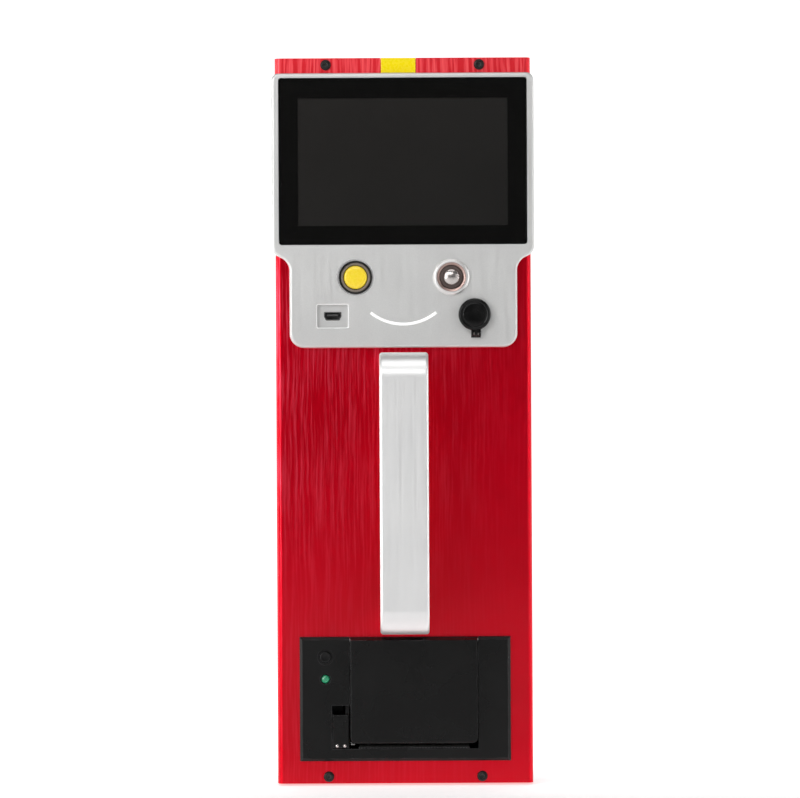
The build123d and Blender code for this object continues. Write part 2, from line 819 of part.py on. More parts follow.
def handle():
    tall = handle_high - handle_low
    mid = (handle_high + handle_low) / 2
    outer = Pos(-handle_reach / 2, mid) * Rectangle(handle_reach, tall)
    outer = fillet(outer.vertices().group_by(Axis.X)[0], handle_bend)
    inner = Pos(handle_thick - handle_reach / 2, mid) * Rectangle(handle_reach, tall - 2 * handle_thick)
    inner = fillet(inner.vertices().group_by(Axis.X)[0], handle_bend - handle_thick)
    bar = side_profile(outer - inner, (-handle_width / 2, handle_width / 2))
    sides = bar.faces().filter_by(Axis.X)
    rims = [e for face in sides for e in face.edges() if abs(e.center().Y - front_y) > 0.01]
    bar = fillet(rims, handle_edge)
    for z in handle_screws_z:
        bar -= rod_y(0, z, handle_screw_radius, (-12, 1))
    return bar


def handle_screws():
    screws = []
    for z in handle_screws_z:
        screw = rod_y(0, z, handle_screw_radius - 0.02, (-10, skin))
        screw += rod_y(0, z, 4.5, (skin, skin + 3))
        screw -= panel(Pos(0, z) * RegularPolygon(1.7, 6), (skin + 1.4, skin + 4))
        screws.append(screw)
    return Compound(screws)


# ---- panel printer ----

def printer_housing():
    x = bezel_width / 2
    frame = block((-x, x), (-bezel_thick, 0), (bezel_low, bezel_high))
    frame = chamfer(front_edges(frame, -bezel_thick), bezel_bevel)
    frame += block((bay_left, bay_right), (0, bay_back), (bay_low, bay_high))
    side_box = block((side_box_left, bay_left), (0, side_box_back), (bay_low, bay_high))
    side_room = block((side_box_left + sheet, bay_left), (0, side_box_back + 1),
                      (bay_low + sheet, bay_high - sheet))
    frame += side_box - side_room
    frame -= block((bay_left + bay_wall, bay_right - bay_wall), (0, bay_back - bay_wall),
                   (bay_low + bay_wall, bay_high - bay_wall))
    frame -= block((flap_left - flap_gap, flap_right + flap_gap), (-bezel_thick - 1, 0.5),
                   (slot_low, bezel_high + 1))
    frame -= block((paper_span[0] - 0.1, paper_span[1] + 0.1), (tear_front, 0.5), (tear_low, slot_low + 1))
    frame -= block((lever_left - 0.3, flap_left), (-bezel_thick - 1, 0.8), (lever_low - 0.3, lever_recess_high))
    frame -= rod_y(feed_x, feed_z, feed_radius + 0.2, (-bezel_thick - 1, 1))
    frame -= rod_y(feed_x, feed_z, feed_radius + 1.25, (-bezel_thick - 1, -bezel_thick + 0.6))
    frame -= rod_y(feed_x, led_z, led_radius + 0.02, (-bezel_thick - 1, 1))
    led_seat = Pos(feed_x, front_y - bezel_thick + 0.3, led_z) * Rot(90, 0, 0)
    frame -= led_seat * Cone(led_radius, led_radius + 0.6, 0.6001)
    frame -= rod_x(flap_pivot_depth, flap_pivot_z, flap_pin_radius + 0.02,
                   (flap_left - 3, flap_right + 3))
    frame -= rod_x(lever_pivot[0], lever_pivot[1], lever_stub + running, (lever_left - 3.5, lever_left))
    frame += rod_x(idler_at[0], idler_at[1], 1.0, (bay_left + bay_wall, gear_span[1] + 0.2))
    frame -= rod_x(pinion_at[0], pinion_at[1], 1.0, (bay_left - 1, bay_left + bay_wall + 1))
    for x in (bay_left, bay_right - bay_wall):
        frame -= rod_x(roll_depth, roll_z, 2.0, (x - 1, x + bay_wall + 1))
    return frame


def printer_hinge_pin():
    return rod_x(flap_pivot_depth, flap_pivot_z, flap_pin_radius, (flap_left - 2.8, flap_right + 2.8))


def printer_door():
    outline = window((flap_left, flap_right), (flap_low, flap_pivot_z), 0)
    outline = fillet(outline.vertices().group_by(Axis.Y)[0], 3)
    lid = panel(outline, (-flap_front, 0))
    rims = front_edges(lid, -flap_front)
    lid = fillet([e for e in rims if e.center().Z < flap_pivot_z - 0.1], 0.8)
    lid -= block((flap_left + flap_wall, flap_right - flap_wall), (-flap_front + flap_wall, 1),
                 (flap_low + flap_wall, flap_pivot_z - flap_barrel - 1))
    lid -= block((flap_left - 1, flap_right + 1), (flap_pivot_depth, 1), (flap_pivot_z - 2.2, flap_pivot_z + 1))
    lid += rod_x(flap_pivot_depth, flap_pivot_z, flap_barrel, (flap_left, flap_right))
    crown = Polygon((-flap_front, flap_pivot_z), (flap_pivot_depth, flap_pivot_z),
                    (flap_pivot_depth, flap_pivot_z + flap_barrel), align=None)
    lid += side_profile(crown, (flap_left, flap_right))
    for x_span in cheek_spans():
        lid += block(x_span, (-flap_front + flap_wall, platen_depth + 3), (flap_low + 0.6, platen_z + 6))
        lid -= rod_x(platen_depth, platen_z, shaft_radius + running, (x_span[0] - 1, x_span[1] + 1))
    lid -= rod_x(flap_pivot_depth, flap_pivot_z, flap_pin_radius + running, (flap_left - 1, flap_right + 1))
    return lid


def cheek_spans():
    """The printer door's two cheeks, just outside the platen roller's ends."""
    left = paper_span[0] - 0.4
    right = paper_span[1] + 0.4
    return [(left - cheek, left), (right, right + cheek)]


def platen_roller():
    sleeve = rod_x(platen_depth, platen_z, platen_radius, (paper_span[0] + 0.2, paper_span[1] - 0.2))
    return sleeve - rod_x(platen_depth, platen_z, shaft_radius + 0.02, (paper_span[0] - 1, paper_span[1] + 1))


def platen_shaft():
    left, right = cheek_spans()
    shaft = rod_x(platen_depth, platen_z, shaft_radius, (gear_span[0], right[1] + 0.6))
    return shaft + gear(platen_teeth, 0, idler_direction, platen_at, gear_span)


def idler_gear():
    to_platen = idler_direction + 180 + 180 / idler_teeth
    return gear(idler_teeth, 1.0 + running, to_platen, idler_at, gear_span)


def pinion_phase():
    """The pinion's first tooth, so that it meets the idler gear in mesh."""
    idler_tooth = idler_direction + 180 + 180 / idler_teeth
    idler_offset = (pinion_direction - idler_tooth) % (360 / idler_teeth)
    share = idler_offset / (360 / idler_teeth)
    return pinion_direction + 180 + (0.5 + share) * 360 / pinion_teeth


def motor_pinion():
    body = gear(pinion_teeth, 0, pinion_phase(), pinion_at, gear_span)
    return body + rod_x(pinion_at[0], pinion_at[1], 0.9, (bay_left, gear_span[0]))


def printer_motor():
    can = rod_x(pinion_at[0], pinion_at[1], motor_radius, (side_box_left + 0.6, bay_left - 0.2))
    return fillet(can.edges().filter_by(GeomType.CIRCLE), 0.6)


def paper_roll():
    roll = rod_x(roll_depth, roll_z, roll_radius, paper_span)
    return roll - rod_x(roll_depth, roll_z, core_radius + 0.02, (paper_span[0] - 1, paper_span[1] + 1))


def roll_core():
    core = rod_x(roll_depth, roll_z, core_radius, paper_span)
    return core - rod_x(roll_depth, roll_z, hub_radius + 0.5, (paper_span[0] - 1, paper_span[1] + 1))


def roll_hubs():
    hubs = []
    inside = (bay_left + bay_wall, bay_right - bay_wall)
    for wall, side, end in [(inside[0], 1, paper_span[0]), (inside[1], -1, paper_span[1])]:
        hub = rod_x(roll_depth, roll_z, hub_radius, sorted((wall, end + side * 6)))
        hub += rod_x(roll_depth, roll_z, hub_radius + 3.5, sorted((wall, wall + side * 1.6)))
        hub += rod_x(roll_depth, roll_z, 1.98, sorted((wall, wall - side * bay_wall)))
        hubs.append(hub)
    return Compound(hubs)


def print_head():
    floor = bay_low + bay_wall
    head = block(paper_span, (1, 14), (floor, 19.7))
    head = chamfer(head.edges().filter_by(Axis.X).group_by(Axis.Z)[-1], 0.6)
    return head


def tear_bar():
    left, right = paper_span
    count = int(paper_width / 1.5)
    pitch = paper_width / count
    points = [(left, tear_low), (left, tear_root)]
    for tooth in range(count):
        points.append((left + (tooth + 0.5) * pitch, tear_root + 0.7))
        points.append((left + (tooth + 1) * pitch, tear_root))
    points.append((right, tear_low))
    return panel(Polygon(*points, align=None), (tear_front, tear_front + 1))


def printer_board():
    board = block((side_box_left + 2.2, bay_left - 1.4), (10, 11.6), (bay_low + 3, bay_high - 3))
    board += block((side_box_left + 4, bay_left - 3), (11.6, 14), (34, 46))
    return board


def feed_button():
    front = -bezel_thick - 0.3
    cap = rod_y(feed_x, feed_z, feed_radius, (front, 3))
    return fillet(front_edges(cap, front), 0.6)


def led_lens():
    front = -bezel_thick - 0.2
    lens = rod_y(feed_x, led_z, led_radius, (front, 4))
    return fillet(front_edges(lens, front), 1.0)


lever_pivot = (-1.6, 20.6)
lever_stub = 0.7
lever_studs_at = [(-35.5, 20.4), (-31.5, 20.4)]
stud_radius = 0.9


def release_lever():
    plate = block((lever_left, lever_right), (-bezel_thick - 0.1, -0.3), (lever_low, lever_high))
    plate = fillet(plate.edges().filter_by(Axis.X).group_by(Axis.Y)[0], 0.8)
    plate += block((lever_left + 2, lever_left + 5), (-0.3, 5), (27, 32))
    for x, z in lever_studs_at:
        plate -= rod_y(x, z, stud_radius, (-bezel_thick - 1, -bezel_thick + 1.5))
    return plate + rod_x(lever_pivot[0], lever_pivot[1], lever_stub, (lever_left - 3, lever_left))


def lever_studs():
    studs = []
    for x, z in lever_studs_at:
        stud = rod_y(x, z, stud_radius - 0.02, (-bezel_thick - 0.5, -bezel_thick + 1.5))
        studs.append(fillet(front_edges(stud, -bezel_thick - 0.5), 0.4))
    return Compound(studs)


nodes = {
    "case_shell": case_shell,
    "case_top_plate": case_top_plate,
    "case_bottom_plate": case_bottom_plate,
    "case_rivets": case_rivets,
    "battery_pack": battery_pack,
    "battery_bracket": battery_bracket,
    "power_supply": power_supply,
    "cable_grommet": cable_grommet,
    "hinge_pins": hinge_pins,
    "front_skin": front_skin,
    "top_rail": top_rail,
    "bottom_rail": bottom_rail,
    "status_lens": status_lens,
    "cover_screws": cover_screws,
    "fascia": fascia,
    "light_arc": light_arc,
    "cover_glass": cover_glass,
    "display_border": display_border,
    "lcd_module": lcd_module,
    "display_bracket": display_bracket,
    "board_spacers": board_spacers,
    "main_board": main_board,
    "select_button_bezel": select_button_bezel,
    "select_button_collar": select_button_collar,
    "select_button_cap": select_button_cap,
    "start_button_bezel": start_button_bezel,
    "start_button_ring": start_button_ring,
    "start_button_cap": start_button_cap,
    "panel_nuts": panel_nuts,
    "lock_barrel": lock_barrel,
    "lock_plug": lock_plug,
    "lock_cam": lock_cam,
    "cam_nut": cam_nut,
    "dust_cover": dust_cover,
    "dust_cover_pin": dust_cover_pin,
    "usb_shell": usb_shell,
    "handle": handle,
    "handle_screws": handle_screws,
    "printer_housing": printer_housing,
    "printer_hinge_pin": printer_hinge_pin,
    "printer_door": printer_door,
    "platen_roller": platen_roller,
    "platen_shaft": platen_shaft,
    "idler_gear": idler_gear,
    "motor_pinion": motor_pinion,
    "printer_motor": printer_motor,
    "printer_board": printer_board,
    "print_head": print_head,
    "tear_bar": tear_bar,
    "paper_roll": paper_roll,
    "roll_core": roll_core,
    "roll_hubs": roll_hubs,
    "feed_button": feed_button,
    "led_lens": led_lens,
    "release_lever": release_lever,
    "lever_studs": lever_studs,
}

os.makedirs("parts", exist_ok=True)
for name, make in nodes.items():
    export_step(make(), f"parts/{name}.step")
for place, mid in hinge_heights.items():
    export_step(hinge_case_leaf(mid), f"parts/hinge_case_leaf_{place}.step")
    export_step(hinge_door_leaf(mid), f"parts/hinge_door_leaf_{place}.step")
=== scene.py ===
from math import asin, cos, pi, radians, sin, tau

import bmesh
import bpy
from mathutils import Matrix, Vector


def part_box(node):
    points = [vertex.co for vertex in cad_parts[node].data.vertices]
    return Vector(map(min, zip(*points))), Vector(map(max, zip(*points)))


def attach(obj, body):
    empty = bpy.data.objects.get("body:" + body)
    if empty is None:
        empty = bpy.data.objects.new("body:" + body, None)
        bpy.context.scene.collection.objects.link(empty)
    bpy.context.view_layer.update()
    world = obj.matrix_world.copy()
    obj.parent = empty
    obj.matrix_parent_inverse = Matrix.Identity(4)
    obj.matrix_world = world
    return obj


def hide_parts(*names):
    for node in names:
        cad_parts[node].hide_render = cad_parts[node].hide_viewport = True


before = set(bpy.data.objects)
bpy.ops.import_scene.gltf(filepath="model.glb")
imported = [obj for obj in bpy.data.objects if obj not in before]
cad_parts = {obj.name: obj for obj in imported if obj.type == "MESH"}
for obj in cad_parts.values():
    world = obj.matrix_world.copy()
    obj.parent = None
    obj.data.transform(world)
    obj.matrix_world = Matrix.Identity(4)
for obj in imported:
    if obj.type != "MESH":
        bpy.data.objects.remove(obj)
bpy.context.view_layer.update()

MM = 0.001
NEAR = 0.01 * MM
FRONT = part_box("front_skin")[0].y


def at(x, depth, z):
    """A point from its place in millimetres."""
    return Vector((x * MM, FRONT + depth * MM, z * MM))


def middle(node):
    low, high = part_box(node)
    return (low + high) / 2


# ---- modelling ----

def deselect():
    if bpy.context.mode != "OBJECT":
        bpy.ops.object.mode_set(mode="OBJECT")
    bpy.ops.object.select_all(action="DESELECT")


def settle(name):
    """Names the new piece and moves its place, turn and size into its mesh."""
    piece = bpy.context.object
    piece.name = piece.data.name = name
    bpy.ops.object.transform_apply(location=True, rotation=True, scale=True)
    return piece


def edit(piece):
    deselect()
    bpy.context.view_layer.objects.active = piece
    piece.select_set(True)
    bpy.ops.object.mode_set(mode="EDIT")
    bpy.ops.mesh.select_mode(type="VERT")
    bpy.ops.mesh.select_all(action="SELECT")


def done():
    bpy.ops.object.mode_set(mode="OBJECT")


def choose(kind, test):
    """Selects the VERT, EDGE or FACE parts whose middle and direction pass the test."""
    bpy.ops.mesh.select_mode(type=kind)
    bpy.ops.mesh.select_all(action="DESELECT")
    mesh = bmesh.from_edit_mesh(bpy.context.object.data)
    if kind == "VERT":
        found = [v for v in mesh.verts if test(v.co, v.normal)]
    elif kind == "EDGE":
        found = [e for e in mesh.edges
                 if test((e.verts[0].co + e.verts[1].co) / 2, (e.verts[0].co - e.verts[1].co).normalized())]
    else:
        found = [f for f in mesh.faces if test(f.calc_center_median(), f.normal)]
    for part in found:
        part.select_set(True)
    mesh.select_flush_mode()
    bmesh.update_edit_mesh(bpy.context.object.data)


def slab(name, low, high):
    """A block between two corners, to be shaped further."""
    deselect()
    bpy.ops.mesh.primitive_cube_add(size=1, location=(low + high) / 2, scale=high - low)
    return settle(name)


def face_of(name, points):
    """One flat face from a run of points, made by extruding a single vertex round it."""
    deselect()
    bpy.ops.mesh.primitive_plane_add(size=MM, location=points[0])
    piece = settle(name)
    edit(piece)
    bpy.ops.mesh.merge(type="CENTER")
    for start, end in zip(points, points[1:]):
        bpy.ops.mesh.extrude_region_move(TRANSFORM_OT_translate={"value": end - start})
    bpy.ops.mesh.select_all(action="SELECT")
    bpy.ops.mesh.edge_face_add()
    return piece


def front_face(name, x_span, z_span, depth):
    """A rectangle facing front."""
    (x0, x1), (z0, z1) = x_span, z_span
    return face_of(name, [at(x, depth, z) for x, z in [(x0, z0), (x1, z0), (x1, z1), (x0, z1)]])


def round_corner(point, radius, segments=8):
    """Rounds one corner of a flat face in edit mode."""
    choose("VERT", lambda co, out: (co - point).length < 2 * NEAR)
    bpy.ops.mesh.bevel(offset=radius * MM, segments=segments, affect="VERTICES")


def pull(way):
    """Gives the flat face in edit mode its thickness."""
    bpy.ops.mesh.select_mode(type="FACE")
    bpy.ops.mesh.select_all(action="SELECT")
    bpy.ops.mesh.extrude_region_move(TRANSFORM_OT_translate={"value": way})
    bpy.ops.mesh.select_all(action="SELECT")
    bpy.ops.mesh.normals_make_consistent(inside=False)


def round_edges(test, radius, segments=3):
    choose("EDGE", test)
    bpy.ops.mesh.bevel(offset=radius * MM, segments=segments, affect="EDGES")


def plate(name, x_span, z_span, depth_span, corner, rim=0.0, segments=3):
    """A front-facing plate with round corners and a rounded front rim."""
    front, back = depth_span
    piece = front_face(name, x_span, z_span, back)
    for x in x_span:
        for z in z_span:
            round_corner(at(x, back, z), corner)
    pull(at(0, front, 0) - at(0, back, 0))
    if rim:
        face = at(0, front, 0).y
        round_edges(lambda mid, way: abs(mid.y - face) < NEAR, rim, segments)
    done()
    return piece


def turned(name, centre, axis, run, steps=64):
    """A round piece: a run of (radius, along) points in millimetres, spun about an axis."""
    out = Vector((0, 0, 1)) if axis.z == 0 else Vector((1, 0, 0))
    points = [centre + out * (radius * MM) + axis * (along * MM) for radius, along in run]
    deselect()
    bpy.ops.mesh.primitive_plane_add(size=MM, location=points[0])
    piece = settle(name)
    edit(piece)
    bpy.ops.mesh.merge(type="CENTER")
    for start, end in zip(points, points[1:]):
        bpy.ops.mesh.extrude_region_move(TRANSFORM_OT_translate={"value": end - start})
    bpy.ops.mesh.select_all(action="SELECT")
    bpy.ops.mesh.spin(steps=steps, angle=tau, center=centre, axis=axis)
    bpy.ops.mesh.select_all(action="SELECT")
    bpy.ops.mesh.remove_doubles(threshold=NEAR / 10)
    bpy.ops.mesh.normals_make_consistent(inside=False)
    done()
    return piece


BACKWARD = Vector((0, 1, 0))
SIDEWAYS = Vector((1, 0, 0))
UPWARD = Vector((0, 0, 1))


def turned_front(name, x, z, run, steps=64):
    """A round piece about a front-to-back axis; its run gives radius and depth."""
    return turned(name, at(x, 0, z), BACKWARD, run, steps)


def peg(x, z, radius, depth_span, steps=48):
    """A plain round cutter about a front-to-back axis."""
    start, end = depth_span
    return turned_front("peg_cutter", x, z, [(0, start), (radius, start), (radius, end), (0, end)], steps)


def modify(piece, kind, **settings):
    """Adds one modifier and applies it."""
    deselect()
    bpy.context.view_layer.objects.active = piece
    piece.select_set(True)
    modifier = piece.modifiers.new(kind.title(), kind)
    for key, value in settings.items():
        setattr(modifier, key, value)
    bpy.ops.object.modifier_apply(modifier=modifier.name)


def cut(piece, *cutters):
    """Takes each cutter's shape away from the piece."""
    for cutter in cutters:
        modify(piece, "BOOLEAN", operation="DIFFERENCE", object=cutter, solver="EXACT")
        bpy.data.objects.remove(cutter)


def fuse(piece, *others):
    """Makes touching pieces one solid."""
    for other in others:
        modify(piece, "BOOLEAN", operation="UNION", object=other, solver="EXACT")
        bpy.data.objects.remove(other)


def smooth(piece, edge=0.0, segments=2, angle=35):
    """Rounds the sharp edges a little and shades the round faces smooth."""
    if edge:
        modify(piece, "BEVEL", width=edge * MM, segments=segments, limit_method="ANGLE",
               angle_limit=radians(angle), use_clamp_overlap=True)
    deselect()
    bpy.context.view_layer.objects.active = piece
    piece.select_set(True)
    bpy.ops.object.shade_smooth_by_angle(angle=radians(angle))
    modify(piece, "WEIGHTED_NORMAL", keep_sharp=True)


def twin(piece, name, shift):
    """A copy of a finished piece with its own mesh, moved in edit mode."""
    copy = piece.copy()
    copy.data = piece.data.copy()
    copy.name = copy.data.name = name
    bpy.context.scene.collection.objects.link(copy)
    edit(copy)
    bpy.ops.mesh.select_all(action="SELECT")
    bpy.ops.transform.translate(value=shift)
    done()
    return copy


def refined(name, node, edge=0.2, segments=2, angle=35):
    """A finished copy of a plain part: triangles joined up, flats made whole, sharp edges rounded."""
    copy = bpy.data.objects.new(name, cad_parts[node].data.copy())
    copy.data.materials.clear()
    bpy.context.scene.collection.objects.link(copy)
    edit(copy)
    bpy.ops.mesh.select_all(action="SELECT")
    bpy.ops.mesh.remove_doubles(threshold=NEAR / 5)
    bpy.ops.mesh.dissolve_limited(angle_limit=radians(0.4))
    done()
    smooth(copy, edge, segments, angle)
    return copy


def place(piece, body, slot, material, *nodes):
    """Sets a finished piece's finish and body, and the plain parts it stands for."""
    piece.data.materials.clear()
    piece.data.materials.append(material)
    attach(piece, body)
    if nodes:
        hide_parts(*nodes)
    return piece


def second_finish(piece, material, test):
    """Gives the faces that pass the test their own finish."""
    piece.data.materials.append(material)
    edit(piece)
    choose("FACE", test)
    piece.active_material_index = 1
    bpy.ops.object.material_slot_assign()
    done()


# ---- shader building ----

def node(tree, kind, inputs=None, **settings):
    """Adds a shader node; each input is a value or another node's output."""
    made = tree.nodes.new("ShaderNode" + kind)
    for key, value in settings.items():
        setattr(made, key, value)
    for key, value in (inputs or {}).items():
        if isinstance(value, bpy.types.NodeSocket):
            tree.links.new(value, made.inputs[key])
        else:
            made.inputs[key].default_value = value
    return made


def maths(tree, operation, a, b=0.0, clamp=False):
    return node(tree, "Math", {0: a, 1: b}, operation=operation, use_clamp=clamp).outputs[0]


def spread(tree, value, low, high, to_low, to_high):
    """Maps a value from one range to another."""
    inputs = {"Value": value, "From Min": low, "From Max": high, "To Min": to_low, "To Max": to_high}
    return node(tree, "MapRange", inputs).outputs["Result"]


def blend_colour(tree, share, first, second):
    made = node(tree, "Mix", data_type="RGBA")
    for socket, value in zip([made.inputs["Factor"], made.inputs[6], made.inputs[7]], [share, first, second]):
        if isinstance(value, bpy.types.NodeSocket):
            tree.links.new(value, socket)
        elif socket.type == "RGBA":
            socket.default_value = (*value[:3], 1)
        else:
            socket.default_value = value
    return made.outputs[2]


def new_group(name, inputs, outputs):
    """A shader node group with named numbers in and out."""
    tree = bpy.data.node_groups.new(name, "ShaderNodeTree")
    for label, value in inputs.items():
        tree.interface.new_socket(label, in_out="INPUT", socket_type="NodeSocketFloat").default_value = value
    for label in outputs:
        tree.interface.new_socket(label, in_out="OUTPUT", socket_type="NodeSocketFloat")
    return tree, tree.nodes.new("NodeGroupInput").outputs, tree.nodes.new("NodeGroupOutput").inputs


def brushing_group():
    """Upright wavy brush lines that wrap round the side bends."""
    tree, given, out = new_group("Upright brushing", {"Lines per metre": 700, "Length": 30}, ["Streak", "Fine"])
    place_at = node(tree, "TexCoord").outputs["Object"]
    axes = node(tree, "SeparateXYZ", {0: place_at}).outputs
    wander = node(tree, "TexNoise", {"Vector": place_at, "Scale": 22.0, "Detail": 3.0}).outputs["Fac"]
    facing = node(tree, "SeparateXYZ", {0: node(tree, "NewGeometry").outputs["Normal"]}).outputs
    on_sides = maths(tree, "SUBTRACT", 1.0, maths(tree, "ABSOLUTE", facing["Z"]))
    deep = maths(tree, "MULTIPLY", axes["Y"], on_sides)
    across = maths(tree, "ADD", maths(tree, "ADD", axes["X"], deep), maths(tree, "MULTIPLY", wander, 0.0035))
    for label, finer, detail in [("Streak", 1.0, 4.0), ("Fine", 5.0, 2.0)]:
        lines = maths(tree, "MULTIPLY", given["Lines per metre"], finer)
        upright = maths(tree, "MULTIPLY", axes["Z"], maths(tree, "DIVIDE", lines, given["Length"]))
        vector = node(tree, "CombineXYZ", {0: maths(tree, "MULTIPLY", across, lines), 2: upright}).outputs[0]
        lines_at = node(tree, "TexNoise", {"Vector": vector, "Scale": 1.0, "Detail": detail, "Roughness": 0.6})
        tree.links.new(lines_at.outputs["Fac"], out[label])
    return tree


def grain_group():
    """Fine even grain, and a broad mottle."""
    tree, given, out = new_group("Grain", {"Grains per metre": 2500, "Mottle per metre": 25}, ["Grain", "Mottle"])
    place_at = node(tree, "TexCoord").outputs["Object"]
    for label, source, detail in [("Grain", "Grains per metre", 2.0), ("Mottle", "Mottle per metre", 4.0)]:
        noise = node(tree, "TexNoise", {"Vector": place_at, "Scale": given[source], "Detail": detail})
        tree.links.new(noise.outputs["Fac"], out[label])
    return tree


def wear_dust_highlight_group():
    """Where edges are rubbed, which some finishes also use as a painted edge highlight, and where dust gathers in
    corners.
    """
    tree, given, out = new_group("Wear, dust and edge highlight", {"Edge radius": 0.0006, "Corner reach": 0.004}, ["Edge", "Corner"])
    geometry = node(tree, "NewGeometry").outputs["Normal"]
    bevel = node(tree, "Bevel", {"Radius": given["Edge radius"]}, samples=4).outputs["Normal"]
    dot = node(tree, "VectorMath", {0: geometry, 1: bevel}, operation="DOT_PRODUCT").outputs["Value"]
    place_at = node(tree, "TexCoord").outputs["Object"]
    patch = node(tree, "TexNoise", {"Vector": place_at, "Scale": 120.0, "Detail": 4.0}).outputs["Fac"]
    edge_wear_and_highlight = spread(tree, patch, 0.42, 0.62, 0.0, 1.0)
    bend = spread(tree, dot, 0.995, 0.9, 0.0, 1.0)
    tree.links.new(maths(tree, "MULTIPLY", bend, edge_wear_and_highlight), out["Edge"])
    hollow = node(tree, "AmbientOcclusion", {"Distance": given["Corner reach"]}, samples=4).outputs["AO"]
    deep = spread(tree, hollow, 0.75, 0.2, 0.0, 1.0)
    tree.links.new(maths(tree, "MULTIPLY", deep, maths(tree, "ADD", patch, 0.2), clamp=True), out["Corner"])
    return tree


BRUSHING = brushing_group()
GRAIN = grain_group()
WEAR_DUST_AND_EDGE_HIGHLIGHT = wear_dust_highlight_group()


def use_group(tree, group, **values):
    """Places a group with its own values, written as Name_in_words=value."""
    made = node(tree, "Group", node_tree=group)
    for key, value in values.items():
        made.inputs[key.replace("_", " ")].default_value = value
    return made.outputs


def new_material(name, metallic=0.0, **sockets):
    """A material with one Principled shader, and the shader's own constant sockets set."""
    material = bpy.data.materials.new(name)
    material.use_nodes = True
    tree = material.node_tree
    shader = tree.nodes["Principled BSDF"]
    shader.inputs["Metallic"].default_value = metallic
    for key, value in sockets.items():
        shader.inputs[key.replace("_", " ")].default_value = value
    return material, tree, shader


def bump(tree, shader, height, distance, strength=1.0):
    made = node(tree, "Bump", {"Height": height, "Distance": distance * MM, "Strength": strength})
    tree.links.new(made.outputs["Normal"], shader.inputs["Normal"])


def finish(name, colour, tone, rough, metallic=0.0, grains=2500, depth=0.02, mottle=25,
           edge_wear_and_highlight=None, edge_wear_and_highlight_share=0.0, dust=0.0, **sockets):
    """A mottled, grained surface with lighter edges, rubbed wear that on some finishes is also a painted highlight, and
    a little dust in its corners.
    """
    material, tree, shader = new_material(name, metallic, **sockets)
    grain = use_group(tree, GRAIN, Grains_per_metre=grains, Mottle_per_metre=mottle)
    wear_dust_and_edge_highlight = use_group(tree, WEAR_DUST_AND_EDGE_HIGHLIGHT)
    base = blend_colour(tree, spread(tree, grain["Mottle"], 0.35, 0.65, 0, 1), colour, tone)
    if edge_wear_and_highlight:
        base = blend_colour(tree, maths(tree, "MULTIPLY", wear_dust_and_edge_highlight["Edge"], edge_wear_and_highlight_share), base, edge_wear_and_highlight)
    if dust:
        base = blend_colour(tree, maths(tree, "MULTIPLY", wear_dust_and_edge_highlight["Corner"], dust), base, (0.32, 0.30, 0.28))
    tree.links.new(base, shader.inputs["Base Color"])
    low, high = rough
    sheen = spread(tree, grain["Mottle"], 0.3, 0.7, low, high)
    tree.links.new(maths(tree, "ADD", sheen, maths(tree, "MULTIPLY", wear_dust_and_edge_highlight["Corner"], 0.15)),
                   shader.inputs["Roughness"])
    bump(tree, shader, grain["Grain"], depth)
    return material


# ---- finishes ----

def red_anodised():
    material, tree, shader = new_material("Red anodised aluminium", 1.0, Coat_Weight=0.25, Coat_Roughness=0.08)
    lines = use_group(tree, BRUSHING)
    spots = use_group(tree, GRAIN, Grains_per_metre=3000, Mottle_per_metre=14)
    axes = node(tree, "SeparateXYZ", {0: node(tree, "TexCoord").outputs["Object"]}).outputs
    # The bright streaks are painted stronger towards the upper left: a painted highlight, where the key light falls,
    # over real brush lines. The same mask also deepens their bumps.
    left = spread(tree, axes["X"], 0.055, -0.05, 0.15, 1.0)
    high = spread(tree, axes["Z"], 0.10, 0.21, 0.20, 1.0)
    strength = maths(tree, "MULTIPLY", left, high)
    # The strip above the fascia is painted paler with stronger streaks: a painted highlight along the top.
    top = spread(tree, axes["Z"], 0.366, 0.371, 0.0, 0.9)
    strength = maths(tree, "MAXIMUM", strength, top)
    streak = spread(tree, lines["Streak"], 0.46, 0.64, 0.0, 1.0)
    share = maths(tree, "MULTIPLY", streak, strength)
    deep = blend_colour(tree, spread(tree, spots["Mottle"], 0.35, 0.65, 0, 1), (0.66, 0.0004, 0.0120),
                        (0.76, 0.0006, 0.0155))
    base = blend_colour(tree, share, deep, (1.0, 0.050, 0.095))
    top_highlight = maths(tree, "MULTIPLY", top, maths(tree, "ADD", maths(tree, "MULTIPLY", streak, 0.75), 0.25))
    base = blend_colour(tree, top_highlight, base, (1.0, 0.13, 0.14))
    tree.links.new(base, shader.inputs["Base Color"])
    satin = spread(tree, lines["Fine"], 0.3, 0.7, 0.28, 0.42)
    tree.links.new(maths(tree, "ADD", satin, maths(tree, "MULTIPLY", top, 0.2)), shader.inputs["Roughness"])
    relief = maths(tree, "ADD", maths(tree, "MULTIPLY", lines["Streak"], strength),
                   maths(tree, "MULTIPLY", lines["Fine"], 0.25))
    bump(tree, shader, relief, 0.05, 0.8)
    return material


def silver_blasted():
    material, tree, shader = new_material("Blasted aluminium", 0.75)
    spots = use_group(tree, GRAIN, Grains_per_metre=2600, Mottle_per_metre=22)
    wear_dust_and_edge_highlight = use_group(tree, WEAR_DUST_AND_EDGE_HIGHLIGHT, Edge_radius=0.0005)
    lines = use_group(tree, BRUSHING, Lines_per_metre=420, Length=24)
    base = blend_colour(tree, spread(tree, spots["Mottle"], 0.35, 0.65, 0, 1), (0.70, 0.70, 0.693), (0.76, 0.76, 0.75))
    base = blend_colour(tree, spread(tree, spots["Grain"], 0.3, 0.7, 0, 0.16), base, (0.48, 0.48, 0.48))
    # Lighter edges: partly rubbed wear, partly a painted highlight along the rim.
    base = blend_colour(tree, maths(tree, "MULTIPLY", wear_dust_and_edge_highlight["Edge"], 0.5), base, (0.95, 0.95, 0.94))
    tree.links.new(base, shader.inputs["Base Color"])
    tree.links.new(spread(tree, lines["Streak"], 0.3, 0.7, 0.40, 0.50), shader.inputs["Roughness"])
    bump(tree, shader, spots["Grain"], 0.03, 0.5)
    return material


